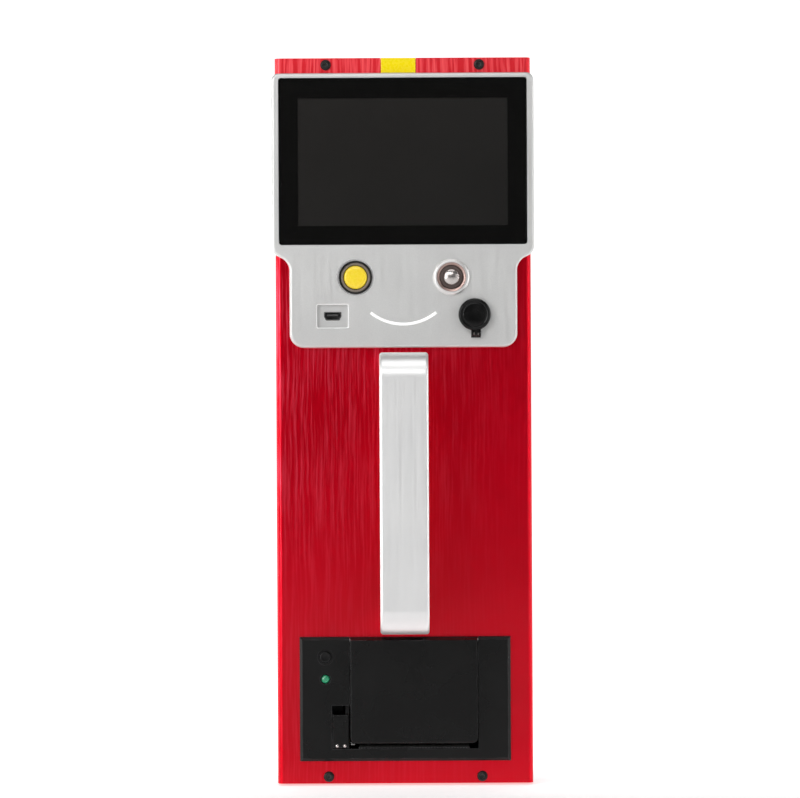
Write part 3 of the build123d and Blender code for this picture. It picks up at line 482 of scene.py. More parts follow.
def handle_satin():
    material, tree, shader = new_material("Satin anodised aluminium", 0.85)
    spots = use_group(tree, GRAIN, Grains_per_metre=3200, Mottle_per_metre=30)
    lines = use_group(tree, BRUSHING, Lines_per_metre=900, Length=60)
    base = blend_colour(tree, spread(tree, spots["Mottle"], 0.35, 0.65, 0, 1), (0.93, 0.93, 0.93), (0.98, 0.98, 0.975))
    tree.links.new(base, shader.inputs["Base Color"])
    tree.links.new(spread(tree, lines["Streak"], 0.3, 0.7, 0.36, 0.46), shader.inputs["Roughness"])
    relief = maths(tree, "ADD", lines["Fine"], spots["Grain"])
    bump(tree, shader, relief, 0.008, 0.5)
    return material


def cover_glass_finish():
    """Clear glass: alpha lets the display show, and faint smears change the gloss."""
    material, tree, shader = new_material("Cover glass", 0.0, IOR=1.5, Transmission_Weight=0.0)
    spots = use_group(tree, GRAIN, Grains_per_metre=500, Mottle_per_metre=18)
    base = blend_colour(tree, spots["Mottle"], (0.010, 0.010, 0.010), (0.018, 0.017, 0.016))
    tree.links.new(base, shader.inputs["Base Color"])
    tree.links.new(spread(tree, spots["Mottle"], 0.35, 0.75, 0.02, 0.07), shader.inputs["Roughness"])
    veil = spread(tree, spots["Mottle"], 0.3, 0.7, 0.06, 0.10)
    mirror = node(tree, "Fresnel", {"IOR": 1.5}).outputs[0]
    tree.links.new(maths(tree, "ADD", veil, maths(tree, "MULTIPLY", mirror, 1.6), clamp=True), shader.inputs["Alpha"])
    return material


def display_finish():
    """An unlit display, painted a little lighter towards its upper left: a painted highlight where the light falls."""
    material, tree, shader = new_material("Unlit display")
    spots = use_group(tree, GRAIN, Grains_per_metre=9000, Mottle_per_metre=12)
    axes = node(tree, "SeparateXYZ", {0: node(tree, "TexCoord").outputs["Object"]}).outputs
    lit_upper_left = maths(tree, "SUBTRACT", spread(tree, axes["Z"], 0.290, 0.357, 0, 1), spread(tree, axes["X"], -0.055, 0.055, 0, 1))
    tone = blend_colour(tree, spread(tree, lit_upper_left, -1, 1, 0, 1), (0.021, 0.018, 0.015), (0.030, 0.024, 0.020))
    base = blend_colour(tree, spread(tree, spots["Grain"], 0.3, 0.7, 0, 0.12), tone, (0.010, 0.010, 0.012))
    tree.links.new(base, shader.inputs["Base Color"])
    tree.links.new(spread(tree, spots["Mottle"], 0.3, 0.7, 0.45, 0.55), shader.inputs["Roughness"])
    return material


def paper_finish(name, light, dark, winds):
    """Paper or card wound in layers about its roll."""
    material, tree, shader = new_material(name)
    spots = use_group(tree, GRAIN, Grains_per_metre=1800, Mottle_per_metre=60)
    low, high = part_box("paper_roll")
    centre = (low + high) / 2
    axes = node(tree, "SeparateXYZ", {0: node(tree, "TexCoord").outputs["Object"]}).outputs
    away_y = maths(tree, "SUBTRACT", axes["Y"], centre.y)
    away_z = maths(tree, "SUBTRACT", axes["Z"], centre.z)
    reach = maths(tree, "SQRT", maths(tree, "ADD", maths(tree, "POWER", away_y, 2.0), maths(tree, "POWER", away_z, 2.0)))
    layer = maths(tree, "FRACT", maths(tree, "MULTIPLY", reach, winds))
    share = maths(tree, "ADD", maths(tree, "MULTIPLY", layer, 0.5), maths(tree, "MULTIPLY", spots["Grain"], 0.5))
    tree.links.new(blend_colour(tree, share, light, dark), shader.inputs["Base Color"])
    tree.links.new(spread(tree, spots["Mottle"], 0.3, 0.7, 0.6, 0.75), shader.inputs["Roughness"])
    bump(tree, shader, layer, 0.04)
    return material


def board_finish():
    """Solder-masked board with copper runs under the mask."""
    material, tree, shader = new_material("Circuit board")
    spots = use_group(tree, GRAIN, Grains_per_metre=1500, Mottle_per_metre=40)
    place_at = node(tree, "TexCoord").outputs["Object"]
    turned_at = node(tree, "Mapping", {"Vector": place_at, "Rotation": (pi / 2, 0, 0), "Scale": (260, 260, 260)})
    runs = node(tree, "TexBrick", {"Vector": turned_at.outputs[0], "Scale": 1.0, "Mortar Size": 0.10,
                                   "Brick Width": 1.9, "Row Height": 0.55, "Color1": (0, 0, 0, 1),
                                   "Color2": (0.35, 0.35, 0.35, 1), "Mortar": (1, 1, 1, 1)}).outputs["Color"]
    base = blend_colour(tree, runs, (0.006, 0.085, 0.030), (0.018, 0.20, 0.075))
    base = blend_colour(tree, spread(tree, spots["Mottle"], 0.55, 0.7, 0, 0.5), base, (0.01, 0.11, 0.05))
    tree.links.new(base, shader.inputs["Base Color"])
    tree.links.new(spread(tree, spots["Grain"], 0.3, 0.7, 0.28, 0.42), shader.inputs["Roughness"])
    bump(tree, shader, runs, 0.03)
    return material


def lamp_finish(name, light, dark, **sockets):
    """A translucent moulded lens with faint flow marks."""
    material, tree, shader = new_material(name, 0.0, Coat_Weight=0.35, Coat_Roughness=0.08, **sockets)
    spots = use_group(tree, GRAIN, Grains_per_metre=900, Mottle_per_metre=90)
    tree.links.new(blend_colour(tree, spread(tree, spots["Mottle"], 0.35, 0.65, 0, 1), light, dark),
                   shader.inputs["Base Color"])
    tree.links.new(spread(tree, spots["Grain"], 0.3, 0.7, 0.22, 0.34), shader.inputs["Roughness"])
    bump(tree, shader, spots["Grain"], 0.004)
    return material


RED = red_anodised()
SILVER = silver_blasted()
SATIN = handle_satin()
GLASS = cover_glass_finish()
DISPLAY = display_finish()
BORDER = finish("Printed black border", (0.0030, 0.0028, 0.0025), (0.0042, 0.0040, 0.0036), (0.32, 0.4), depth=0.002,
                Specular_IOR_Level=0.1)
CASE = finish("Textured powder coat", (0.028, 0.028, 0.030), (0.036, 0.036, 0.038), (0.5, 0.62), grains=1700,
              depth=0.09, edge_wear_and_highlight=(0.30, 0.30, 0.31), edge_wear_and_highlight_share=0.5, dust=0.35)
ZINC = finish("Zinc plate", (0.60, 0.60, 0.57), (0.46, 0.47, 0.48), (0.28, 0.42), 1.0, grains=1200, depth=0.015,
              mottle=260, dust=0.2)
MILL = finish("Mill aluminium", (0.66, 0.66, 0.66), (0.56, 0.56, 0.57), (0.32, 0.45), 0.95, mottle=60, dust=0.25)
BRASS = finish("Turned brass", (0.72, 0.50, 0.17), (0.60, 0.38, 0.12), (0.2, 0.34), 1.0, mottle=200)
SCREW_BLACK = finish("Black oxide", (0.012, 0.012, 0.012), (0.022, 0.020, 0.019), (0.30, 0.42), 0.6, mottle=500,
                     edge_wear_and_highlight=(0.2, 0.19, 0.18), edge_wear_and_highlight_share=0.6, dust=0.2)
YELLOW_LENS = lamp_finish("Yellow status lens", (1.0, 0.80, 0.001), (0.98, 0.76, 0.0))
YELLOW_CAP = lamp_finish("Yellow button cap", (1.0, 0.78, 0.042), (0.98, 0.70, 0.030))
GREEN = lamp_finish("Green lamp lens", (0.03, 0.46, 0.22), (0.02, 0.28, 0.13), Transmission_Weight=0.25)
# The light guide's faint glow is painted brightness: nothing lights it from behind.
WHITE = lamp_finish("White light guide", (0.98, 0.98, 0.97), (0.93, 0.93, 0.92), Emission_Strength=0.3,
                    Emission_Color=(1, 1, 1, 1))
BLACK_GLOSS = finish("Gloss black moulding", (0.003, 0.003, 0.003), (0.006, 0.006, 0.006), (0.16, 0.28),
                     depth=0.003, mottle=160, dust=0.05, Specular_IOR_Level=0.25)
COLLAR = finish("Grey moulding", (0.24, 0.20, 0.17), (0.19, 0.16, 0.13), (0.38, 0.5), depth=0.006, mottle=200)
POLISHED = finish("Polished steel", (0.74, 0.69, 0.67), (0.62, 0.57, 0.55), (0.16, 0.26), 1.0, depth=0.002, mottle=220)
RING = finish("Dark insulating ring", (0.060, 0.040, 0.036), (0.085, 0.060, 0.054), (0.3, 0.42), mottle=220)
# Its lighter edges are partly rubbed wear and partly a painted highlight along the bevels.
PRINTER = finish("Satin black moulding", (0.0040, 0.0040, 0.0040), (0.0065, 0.0065, 0.0065), (0.24, 0.32), grains=2200,
                 depth=0.008, mottle=35, edge_wear_and_highlight=(0.16, 0.16, 0.17), edge_wear_and_highlight_share=0.35, dust=0.05, Specular_IOR_Level=0.20)
STEEL = finish("Stamped steel", (0.55, 0.55, 0.54), (0.44, 0.44, 0.44), (0.22, 0.36), 1.0, mottle=180)
PORT_STEEL = finish("Port shell steel", (0.20, 0.20, 0.20), (0.12, 0.12, 0.12), (0.3, 0.42), 0.9, mottle=400)
# Dark steel for the tear bar, darkened as painted shade for the paper slot it sits in.
SLOT_SHADE_STEEL = finish("Steel darkened as slot shade", (0.030, 0.030, 0.031), (0.045, 0.045, 0.045), (0.3, 0.42), 0.9, mottle=180)
MOTOR = finish("Drawn steel can", (0.48, 0.48, 0.50), (0.40, 0.40, 0.41), (0.26, 0.38), 1.0, mottle=90, dust=0.2)
NYLON = finish("Natural nylon", (0.74, 0.71, 0.62), (0.66, 0.63, 0.54), (0.42, 0.55), mottle=150, Subsurface_Weight=0.1)
RUBBER = finish("Black rubber", (0.016, 0.016, 0.016), (0.026, 0.025, 0.024), (0.62, 0.78), grains=1600, depth=0.03,
                dust=0.3)
SLEEVE = finish("Shrink sleeve", (0.022, 0.045, 0.13), (0.030, 0.060, 0.17), (0.26, 0.4), grains=300, depth=0.12,
                mottle=40, dust=0.15)
PAPER = paper_finish("Wound ticket paper", (0.90, 0.89, 0.86), (0.74, 0.73, 0.70), 5200)
CARD = paper_finish("Wound card core", (0.44, 0.31, 0.18), (0.33, 0.22, 0.12), 1400)
BOARD = board_finish()
# Near-white with a faint glow: a painted highlight for the chamfers round the select button's seat and the port's
# flare.
CHAMFER_HIGHLIGHT = finish("Aluminium with painted chamfer highlight", (0.98, 0.98, 0.98), (0.92, 0.92, 0.92), (0.35, 0.5), 0.2, depth=0.002,
                  Emission_Strength=0.12, Emission_Color=(1, 1, 1, 1))
SATIN_STEEL = finish("Satin steel", (0.98, 0.96, 0.95), (0.90, 0.88, 0.87), (0.30, 0.42), 0.9, depth=0.003, mottle=220)
# A darker, warm steel: a painted reflection for the inner faces of the metal button's bezel.
WARM_REFLECTION_STEEL = finish("Steel with painted warm reflection", (0.56, 0.40, 0.36), (0.44, 0.31, 0.28), (0.26, 0.38), 1.0, depth=0.003,
                    mottle=220)
BLACK_BOARD = finish("Black solder mask", (0.004, 0.004, 0.004), (0.008, 0.008, 0.008), (0.4, 0.5), depth=0.01,
                     Specular_IOR_Level=0.2)


# ---- front door ----

def make_front_skin():
    """The red sheet: a channel bent from one blank, with its openings cut."""
    low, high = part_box("front_skin")
    skin = slab("front_skin_sheet", low, high)
    edit(skin)
    choose("FACE", lambda mid, out: out.y > 0.9 or abs(out.z) > 0.9)
    bpy.ops.mesh.delete(type="FACE")
    round_edges(lambda mid, way: abs(way.z) > 0.9 and mid.y < low.y + NEAR, 3.0, 10)
    done()
    modify(skin, "SOLIDIFY", thickness=2 * MM, offset=-1.0, use_even_offset=True)
    display_low, display_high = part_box("lcd_module")
    margin = Vector((1.5, 0, 1.5)) * MM
    through = Vector((0, 40, 0)) * MM
    cutters = [slab("display_cutter", display_low - margin - through, display_high + margin + through)]
    bay = [(-47.0, 41.2), (14.5, 74.5)]
    notch = [(-11.25, 7.05), (370.0, 379.0)]
    port = [(-42.8, -30.8), (239.7, 247.7)]
    for x_span, z_span in (bay, notch, port):
        cutters.append(slab("window_cutter", at(x_span[0], -1, z_span[0]), at(x_span[1], 3, z_span[1])))
    for x, z, radius in [(-24.8, 263.7, 8.1), (25.0, 263.7, 8.1), (36.9, 244.2, 6.1), (0, 83.3, 2.8), (0, 220.9, 2.8)]:
        cutters.append(peg(x, z, radius, (-1, 3)))
    for x, z in SCREWS:
        cutters.append(peg(x, z, 1.6, (-1, 3), 24))
    cut(skin, *cutters)
    smooth(skin, 0.3, 2, 40)
    place(skin, "front_door", "red_skin", RED, "front_skin")


SCREWS = [(x, z) for x in (-39.9, 39.9) for z in (4.2, 374.4)]


def make_cover_screws():
    """Four button-head screws with hex sockets."""
    x, z = SCREWS[0]
    run = [(0, -1.6), (1.7, -1.6), (2.15, -1.48), (2.5, -1.18), (2.7, -0.75), (2.75, -0.15), (2.75, 0), (1.45, 0),
           (1.45, 8.5), (0, 8.5)]
    first = turned_front("cover_screw_1", x, z, run, 48)
    socket = turned_front("socket_cutter", x, z, [(0, -2), (1.25, -2), (1.15, -0.5), (0, -0.3)], 6)
    cut(first, socket)
    smooth(first, 0.08, 2)
    screws = [first]
    for number, (to_x, to_z) in enumerate(SCREWS[1:], 2):
        screws.append(twin(first, f"cover_screw_{number}", at(to_x, 0, to_z) - at(x, 0, z)))
    for screw in screws:
        place(screw, "front_door", "black_screw", SCREW_BLACK, "cover_screws")


def make_status_lens():
    low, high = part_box("status_lens")
    lens = slab("status_lens_block", low, high)
    edit(lens)
    round_edges(lambda mid, way: mid.y < low.y + NEAR, 0.5, 4)
    done()
    smooth(lens, 0.15)
    place(lens, "front_door", "yellow_lens", YELLOW_LENS, "status_lens")


STEP_Z, HOLLOW_Z, LOW_HALF = 276.6, 271.8, 59.2
GLASS_HALF, GLASS_LOW, GLASS_HIGH = 64.4, 280.8, 367.3


def port_corners(grow, depth):
    """The service port's outline: a wide top and a narrower bottom."""
    wide, tall = 4.4 + grow, 2.1 + grow
    run = [(-wide, tall), (wide, tall), (wide, -0.1 * tall), (0.78 * wide, -tall), (-0.78 * wide, -tall),
           (-wide, -0.1 * tall)]
    return [at(PORT_X + x, depth, PORT_Z + z) for x, z in run]


PORT_X, PORT_Z = -36.8, 243.7
SELECT_X, START_X, BUTTON_Z = -24.8, 25.0, 263.7
ARC_HALF, ARC_END, ARC_LOW = 17.0, 245.4, 239.4


def curved_bar(name, stroke, depth_span):
    """A bar of even width bent along the light line's arc."""
    sag = ARC_END - ARC_LOW
    radius = (ARC_HALF ** 2 + sag ** 2) / (2 * sag)
    centre = at(0, 0, ARC_LOW + radius)
    turn = asin(ARC_HALF / radius)
    front, back = depth_span
    outward = Vector((-sin(turn), 0, -cos(turn)))
    ends = [(radius - stroke / 2, front), (radius + stroke / 2, front), (radius + stroke / 2, back),
            (radius - stroke / 2, back)]
    points = [centre + outward * (reach * MM) + BACKWARD * (depth * MM) for reach, depth in ends]
    piece = face_of(name, points)
    bpy.ops.mesh.select_all(action="SELECT")
    bpy.ops.mesh.spin(steps=40, angle=2 * turn, center=centre, axis=BACKWARD)
    bpy.ops.mesh.select_all(action="SELECT")
    bpy.ops.mesh.remove_doubles(threshold=NEAR / 10)
    bpy.ops.mesh.normals_make_consistent(inside=False)
    done()
    return piece


def make_fascia():
    """The silver plate: wide round the display, narrower round the controls."""
    low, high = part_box("fascia")
    wide = high.x / MM
    top, bottom = high.z / MM, low.z / MM
    plate_piece = front_face("fascia_plate", (-wide, wide), (STEP_Z, top), 0)
    for x in (-LOW_HALF, LOW_HALF):
        bpy.ops.mesh.select_all(action="SELECT")
        bpy.ops.mesh.bisect(plane_co=at(x, 0, 0), plane_no=(1, 0, 0))
    choose("EDGE", lambda mid, way: abs(mid.x) < LOW_HALF * MM / 2 and abs(mid.z - STEP_Z * MM) < NEAR)
    bpy.ops.mesh.extrude_region_move(TRANSFORM_OT_translate={"value": (0, 0, (bottom - STEP_Z) * MM)})
    bpy.ops.mesh.select_all(action="SELECT")
    bpy.ops.mesh.dissolve_limited(angle_limit=radians(1))
    choose("VERT", lambda co, out: abs(abs(co.x) - LOW_HALF * MM) < NEAR and abs(co.z - STEP_Z * MM) < NEAR)
    bpy.ops.transform.translate(value=(0, 0, (HOLLOW_Z - STEP_Z) * MM))
    for side in (-1, 1):
        for x, z, radius in [(wide, top, 4.0), (wide, STEP_Z, 3.05), (LOW_HALF, HOLLOW_Z, 4.27),
                             (LOW_HALF, bottom, 7.5)]:
            round_corner(at(side * x, 0, z), radius, 10)
    pull(at(0, -4, 0) - at(0, 0, 0))
    round_edges(lambda mid, way: mid.y < low.y + NEAR, 1.5, 6)
    done()
    pocket = plate("pocket_cutter", (-GLASS_HALF - 0.2, GLASS_HALF + 0.2), (GLASS_LOW - 0.2, GLASS_HIGH + 0.2),
                   (-6, -1.45), 1.5)
    display_low, display_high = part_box("lcd_module")
    margin = Vector((0.4, 40, 0.4)) * MM
    view = slab("view_cutter", display_low - margin, display_high + margin)
    seat = turned_front("seat_cutter", -24.8, 263.7, [(0, -5), (10.7, -5), (8.8, -3.1), (8.8, -3), (8.1, -3),
                                                      (8.1, 1), (0, 1)], 96)
    start_hole = peg(25.0, 263.7, 8.1, (-5, 1), 96)
    lock_hole = peg(36.9, 244.2, 6.1, (-5, 1), 64)
    recess = plate("recess_cutter", (PORT_X - 8.05, PORT_X + 8.05), (PORT_Z - 5.95, PORT_Z + 5.95), (-5, -1.5), 0.8)
    flare = plate("flare_cutter", (PORT_X - 8.05, PORT_X + 8.05), (PORT_Z - 5.95, PORT_Z + 5.95), (-4.6, -3.6), 0.8)
    edit(flare)
    choose("FACE", lambda mid, out: out.y < -0.9)
    grow = 1 / 8.05
    bpy.ops.transform.resize(value=(1 + grow, 1, 1 + grow * 8.05 / 5.95),
                             center_override=at(PORT_X, -4.6, PORT_Z))
    done()
    opening = face_of("opening_cutter", port_corners(0.1, 1))
    pull(at(0, -4, 0) - at(0, 1, 0))
    done()
    groove = curved_bar("groove_cutter", 1.6, (-5, -2))
    cut(plate_piece, pocket, view, seat, start_hole, lock_hole, recess, flare, opening, groove)
    smooth(plate_piece, 0.0, angle=30)
    place(plate_piece, "front_door", "silver_fascia", SILVER, "fascia")
    seat_middle, port_middle = at(SELECT_X, -4, BUTTON_Z), at(PORT_X, -4, PORT_Z)
    rim, flare_depth = at(0, -3.15, 0).y, at(0, -3.65, 0).y

    # The seat's chamfer and the port's flare get the painted chamfer highlight.
    def lit_chamfer(mid, out):
        if abs(out.y) > 0.95 or abs(out.y) < 0.2:
            return False
        from_seat, from_port = mid - seat_middle, mid - port_middle
        on_seat = 8.9 * MM < Vector((from_seat.x, from_seat.z)).length < 10.6 * MM and mid.y < rim
        on_flare = abs(from_port.x) < 9.2 * MM and abs(from_port.z) < 7.1 * MM and mid.y < flare_depth
        return on_seat or on_flare

    second_finish(plate_piece, CHAMFER_HIGHLIGHT, lit_chamfer)


def make_light_arc():
    bar = curved_bar("light_arc_guide", 1.5, (-4.05, -2))
    edit(bar)
    face = at(0, -4.05, 0).y
    round_edges(lambda mid, way: mid.y < face + NEAR, 0.3, 3)
    done()
    smooth(bar)
    place(bar, "front_door", "white_light", WHITE, "light_arc")


def make_cover_glass():
    low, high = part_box("cover_glass")
    glass = plate("cover_glass_pane", (-GLASS_HALF, GLASS_HALF), (GLASS_LOW, GLASS_HIGH), (-3.85, -2.05), 1.5, 0.35, 3)
    smooth(glass)
    place(glass, "front_door", "clear_glass", GLASS, "cover_glass")


def make_handle():
    """A flat bar bent to a bow, with its long edges rounded."""
    low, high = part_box("handle")
    thick = 7.0 * MM
    side = [Vector((low.x, low.y, low.z)), Vector((low.x, low.y, high.z)), Vector((low.x, low.y + thick, high.z)),
            Vector((low.x, low.y + thick, low.z))]
    bow = face_of("bow_handle", side)
    for z in (low.z + thick, high.z - thick):
        bpy.ops.mesh.select_all(action="SELECT")
        bpy.ops.mesh.bisect(plane_co=(0, 0, z), plane_no=(0, 0, 1))
    inner = low.y + thick
    choose("EDGE", lambda mid, way: mid.y > inner - NEAR and (mid.z < low.z + thick or mid.z > high.z - thick))
    bpy.ops.mesh.extrude_region_move(TRANSFORM_OT_translate={"value": (0, high.y - inner, 0)})
    bpy.ops.mesh.select_all(action="SELECT")
    bpy.ops.mesh.dissolve_limited(angle_limit=radians(1))
    for z in (low.z, high.z):
        round_corner(Vector((low.x, low.y, z)), 13.0, 18)
    for z in (low.z + thick, high.z - thick):
        round_corner(Vector((low.x, inner, z)), 6.0, 18)
    pull(Vector((high.x - low.x, 0, 0)))
    round_edges(lambda mid, way: abs(abs(mid.x) - high.x) < NEAR and mid.y < high.y - NEAR, 1.5, 5)
    done()
    cut(bow, peg(0, 83.3, 2.5, (-12, 1), 32), peg(0, 220.9, 2.5, (-12, 1), 32))
    smooth(bow, angle=30)
    place(bow, "front_door", "handle_silver", SATIN, "handle")


# ---- controls ----

def threads(radius, start, end, pitch=1.0, cut_depth=0.3):
    """Thread crests and roots along a barrel, as points for turning."""
    run = []
    for turn in range(int((end - start) / pitch)):
        run += [(radius, start + turn * pitch), (radius - cut_depth, start + (turn + 0.5) * pitch)]
    return run


def make_select_button():
    """The yellow push button: black bezel, grey collar and domed cap."""
    run = [(7.75, -2.0), (7.75, -5.2), (7.85, -5.35), (8.1, -5.4), (8.4, -5.25), (8.6, -4.95), (8.7, -4.5), (8.7, -3.0),
           (8.0, -3.0), *threads(8.0, 5.5, 13.5), (8.0, 13.6), (7.6, 14.0), (0, 14.0), (0, 12.0), (6.25, 12.0),
           (6.25, -2.0), (7.75, -2.0)]
    bezel = turned_front("select_bezel", SELECT_X, BUTTON_Z, run, 96)
    smooth(bezel)
    place(bezel, "front_door", "gloss_black", BLACK_GLOSS, "select_button_bezel")
    run = [(6.25, -2.0), (6.25, -4.1), (6.5, -4.5), (7.0, -4.75), (7.5, -4.7), (7.73, -4.5), (7.73, -2.0),
           (6.25, -2.0)]
    collar = turned_front("select_collar", SELECT_X, BUTTON_Z, run, 96)
    smooth(collar)
    place(collar, "front_door", "collar_grey", COLLAR, "select_button_collar")
    run = [(0, -5.6), (2.2, -5.59), (4.0, -5.54), (5.0, -5.42), (5.6, -5.2), (5.9, -4.9), (6.05, -4.4), (6.05, 3.0),
           (3.0, 3.0), (3.0, 9.0), (0, 9.0)]
    cap = turned_front("select_cap", SELECT_X, BUTTON_Z, run, 96)
    smooth(cap)
    place(cap, "select_button", "yellow_lens", YELLOW_CAP, "select_button_cap")


def make_start_button():
    """The metal push button: polished bezel, dark ring and domed cap."""
    run = [(6.2, 16.0), (6.2, -5.0), (6.45, -5.35), (6.8, -5.5), (7.5, -5.6), (7.6, -5.95), (8.4, -6.0), (8.8, -5.8), (9.4, -5.0), (9.55, -4.6),
           (9.55, -4.0), (8.0, -4.0), *threads(8.0, 5.5, 17.5), (8.0, 17.6), (7.6, 18.0), (0, 18.0), (0, 16.0),
           (6.2, 16.0)]
    bezel = turned_front("start_bezel", START_X, BUTTON_Z, run, 96)
    smooth(bezel)
    place(bezel, "front_door", "polished_steel", SATIN_STEEL, "start_button_bezel")
    centre = at(START_X, 0, BUTTON_Z)
    # The bezel's faces inside 7.7 mm get the painted warm reflection.
    second_finish(bezel, WARM_REFLECTION_STEEL,
                  lambda mid, out: Vector((mid.x - centre.x, mid.z - centre.z)).length < 7.7 * MM)
    run = [(4.12, 4.0), (4.12, -4.95), (4.35, -5.2), (5.7, -5.2), (5.95, -5.0), (6.0, -4.8), (6.0, 4.0), (4.12, 4.0)]
    ring = turned_front("start_ring", START_X, BUTTON_Z, run, 96)
    smooth(ring)
    place(ring, "start_button", "ring_dark", RING, "start_button_ring")
    run = [(0, -6.2), (1.0, -6.14), (2.0, -5.97), (3.0, -5.68), (3.7, -5.38), (4.0, -5.15), (4.1, -4.9), (4.1, 12.0),
           (0, 12.0)]
    cap = turned_front("start_cap", START_X, BUTTON_Z, run, 96)
    smooth(cap)
    place(cap, "start_button", "polished_steel", POLISHED, "start_button_cap")


LOCK_X, LOCK_Z = 36.9, 244.2
LUG_X, LUG_DEPTH, LUG_Z = 37.6, -6.9, 234.2


def make_lock():
    """The cam lock with its hinged dust cover."""
    barrel = refined("lock_barrel_body", "lock_barrel", 0.2)
    place(barrel, "front_door", "gloss_black", BLACK_GLOSS, "lock_barrel")
    run = [(0, -8.95), (3.0, -9.0), (5.5, -8.95), (6.0, -8.8), (6.2, -8.5), (6.45, -8.45), (6.7, -8.6), (7.1, -8.75),
           (7.6, -8.65), (8.1, -8.2), (8.35, -7.6), (8.4, -7.0), (8.4, -6.4), (8.2, -6.2), (6.8, -6.2), (6.8, -7.4),
           (0, -7.4)]
    cover = turned_front("dust_cover_disc", LOCK_X, LOCK_Z, run, 96)
    tongue = slab("tongue", at(LUG_X - 0.95, -8.4, LUG_Z), at(LUG_X + 0.95, -6.3, LOCK_Z - 6.9))
    knuckle = turned("knuckle", at(0, LUG_DEPTH, LUG_Z), SIDEWAYS,
                     [(0, LUG_X - 0.95), (1.5, LUG_X - 0.95), (1.5, LUG_X + 0.95), (0, LUG_X + 0.95)], 32)
    fuse(cover, tongue, knuckle)
    smooth(cover, 0.12)
    place(cover, "dust_cover", "gloss_black", BLACK_GLOSS, "dust_cover")
    run = [(0, LUG_X - 2.5), (0.45, LUG_X - 2.5), (0.59, LUG_X - 2.35), (0.59, LUG_X + 2.35), (0.45, LUG_X + 2.5),
           (0, LUG_X + 2.5)]
    pin = turned("dust_cover_rod", at(0, LUG_DEPTH, LUG_Z), SIDEWAYS, run, 24)
    smooth(pin)
    place(pin, "front_door", "polished_steel", POLISHED, "dust_cover_pin")
    for name, node_name, slot, material in [("lock_plug_core", "lock_plug", "zinc_steel", ZINC),
                                            ("lock_cam_blade", "lock_cam", "zinc_steel", ZINC),
                                            ("lock_cam_nut", "cam_nut", "zinc_steel", ZINC)]:
        place(refined(name, node_name, 0.15), "lock_core", slot, material, node_name)


def make_service_port():
    shell = refined("port_shell", "usb_shell", 0.08)
    place(shell, "front_door", "steel_blade", PORT_STEEL, "usb_shell")


# ---- panel printer ----

def make_printer():
    housing = refined("printer_frame", "printer_housing", 0.25, 2, 28)
    place(housing, "front_door", "printer_black", PRINTER, "printer_housing")
    door = refined("printer_flap", "printer_door", 0.2, 2, 40)
    place(door, "printer_door", "printer_black", PRINTER, "printer_door")
    lever = refined("release_lever_blade", "release_lever", 0.2, 2, 40)
    place(lever, "release_lever", "printer_black", PRINTER, "release_lever")
    studs = [(-35.5, 20.4), (-31.5, 20.4)]
    run = [(0, -3.5), (0.3, -3.47), (0.6, -3.36), (0.8, -3.18), (0.88, -2.9), (0.88, -1.5), (0, -1.5)]
    first = turned_front("lever_stud_1", *studs[0], run, 32)
    smooth(first)
    second = twin(first, "lever_stud_2", at(studs[1][0], 0, 0) - at(studs[0][0], 0, 0))
    for stud in (first, second):
        place(stud, "release_lever", "polished_steel", POLISHED, "lever_studs")
    run = [(0, -3.05), (1.4, -3.1), (2.1, -3.28), (2.5, -3.3), (2.8, -3.15), (3.0, -2.8), (3.0, 3.0), (0, 3.0)]
    button = turned_front("feed_button_cap", -41.4, 66.6, run, 48)
    smooth(button)
    place(button, "feed_button", "printer_black", PRINTER, "feed_button")
    run = [(0, -3.2), (0.9, -3.15), (1.65, -2.85), (2.1, -2.35), (2.25, -1.7), (2.25, 4.0), (0, 4.0)]
    lens = turned_front("lamp_lens", -41.4, 55.1, run, 12)
    smooth(lens, angle=12)
    place(lens, "front_door", "green_lens", GREEN, "led_lens")


# ---- rear case ----

def make_case():
    place(refined("case_tray", "case_shell", 0.25, 2), "case", "case_paint", CASE, "case_shell")
    place(refined("case_lid_plate", "case_top_plate", 0.25), "case", "case_paint", CASE, "case_top_plate")
    place(refined("case_floor_plate", "case_bottom_plate", 0.25), "case", "case_paint", CASE, "case_bottom_plate")
    run = [(0, 59.4), (1.2, 59.38), (2.2, 59.2), (2.9, 58.9), (3.2, 58.5), (1.55, 58.5), (1.55, 55.5), (2.4, 55.5),
           (2.3, 54.3), (0, 54.0)]
    number = 0
    for side in (-1, 1):
        for depth in (35.5, 59.5):
            for z in (7.5, 368.5):
                number += 1
                sided = [(radius, side * along) for radius, along in run]
                rivet = turned(f"rivet_{number}", at(0, depth, z), SIDEWAYS, sided, 32)
                smooth(rivet)
                place(rivet, "case", "zinc_steel", ZINC, "case_rivets")
    run = [(5.5, 71.6), (5.8, 72.0), (6.6, 72.0), (6.98, 71.8), (6.98, 70.5), (9.5, 70.5), (9.5, 67.6), (9.0, 67.0),
           (6.0, 67.0), (5.5, 67.4), (5.5, 71.6)]
    grommet = turned_front("grommet_ring", 0, 97.0, run)
    smooth(grommet)
    place(grommet, "case", "roller_rubber", RUBBER, "cable_grommet")


def make_hinges():
    for height in ("lower", "upper"):
        node_name = f"hinge_case_leaf_{height}"
        place(refined(f"case_leaf_{height}", node_name, 0.15), "case", "zinc_steel", ZINC, node_name)
        node_name = f"hinge_door_leaf_{height}"
        place(refined(f"door_leaf_{height}", node_name, 0.15), "front_door", "zinc_steel", ZINC, node_name)
    place(refined("hinge_pin_pair", "hinge_pins", 0.15), "case", "zinc_steel", ZINC, "hinge_pins")


def make_rails():
    for name in ("top_rail", "bottom_rail"):
        place(refined(f"{name}_bar", name, 0.3), "front_door", "red_skin", RED, name)


make_front_skin()
make_rails()
make_cover_screws()
make_status_lens()
make_fascia()
make_light_arc()
make_cover_glass()
make_handle()
make_select_button()
make_start_button()
make_lock()
make_service_port()
make_printer()
make_case()
make_hinges()

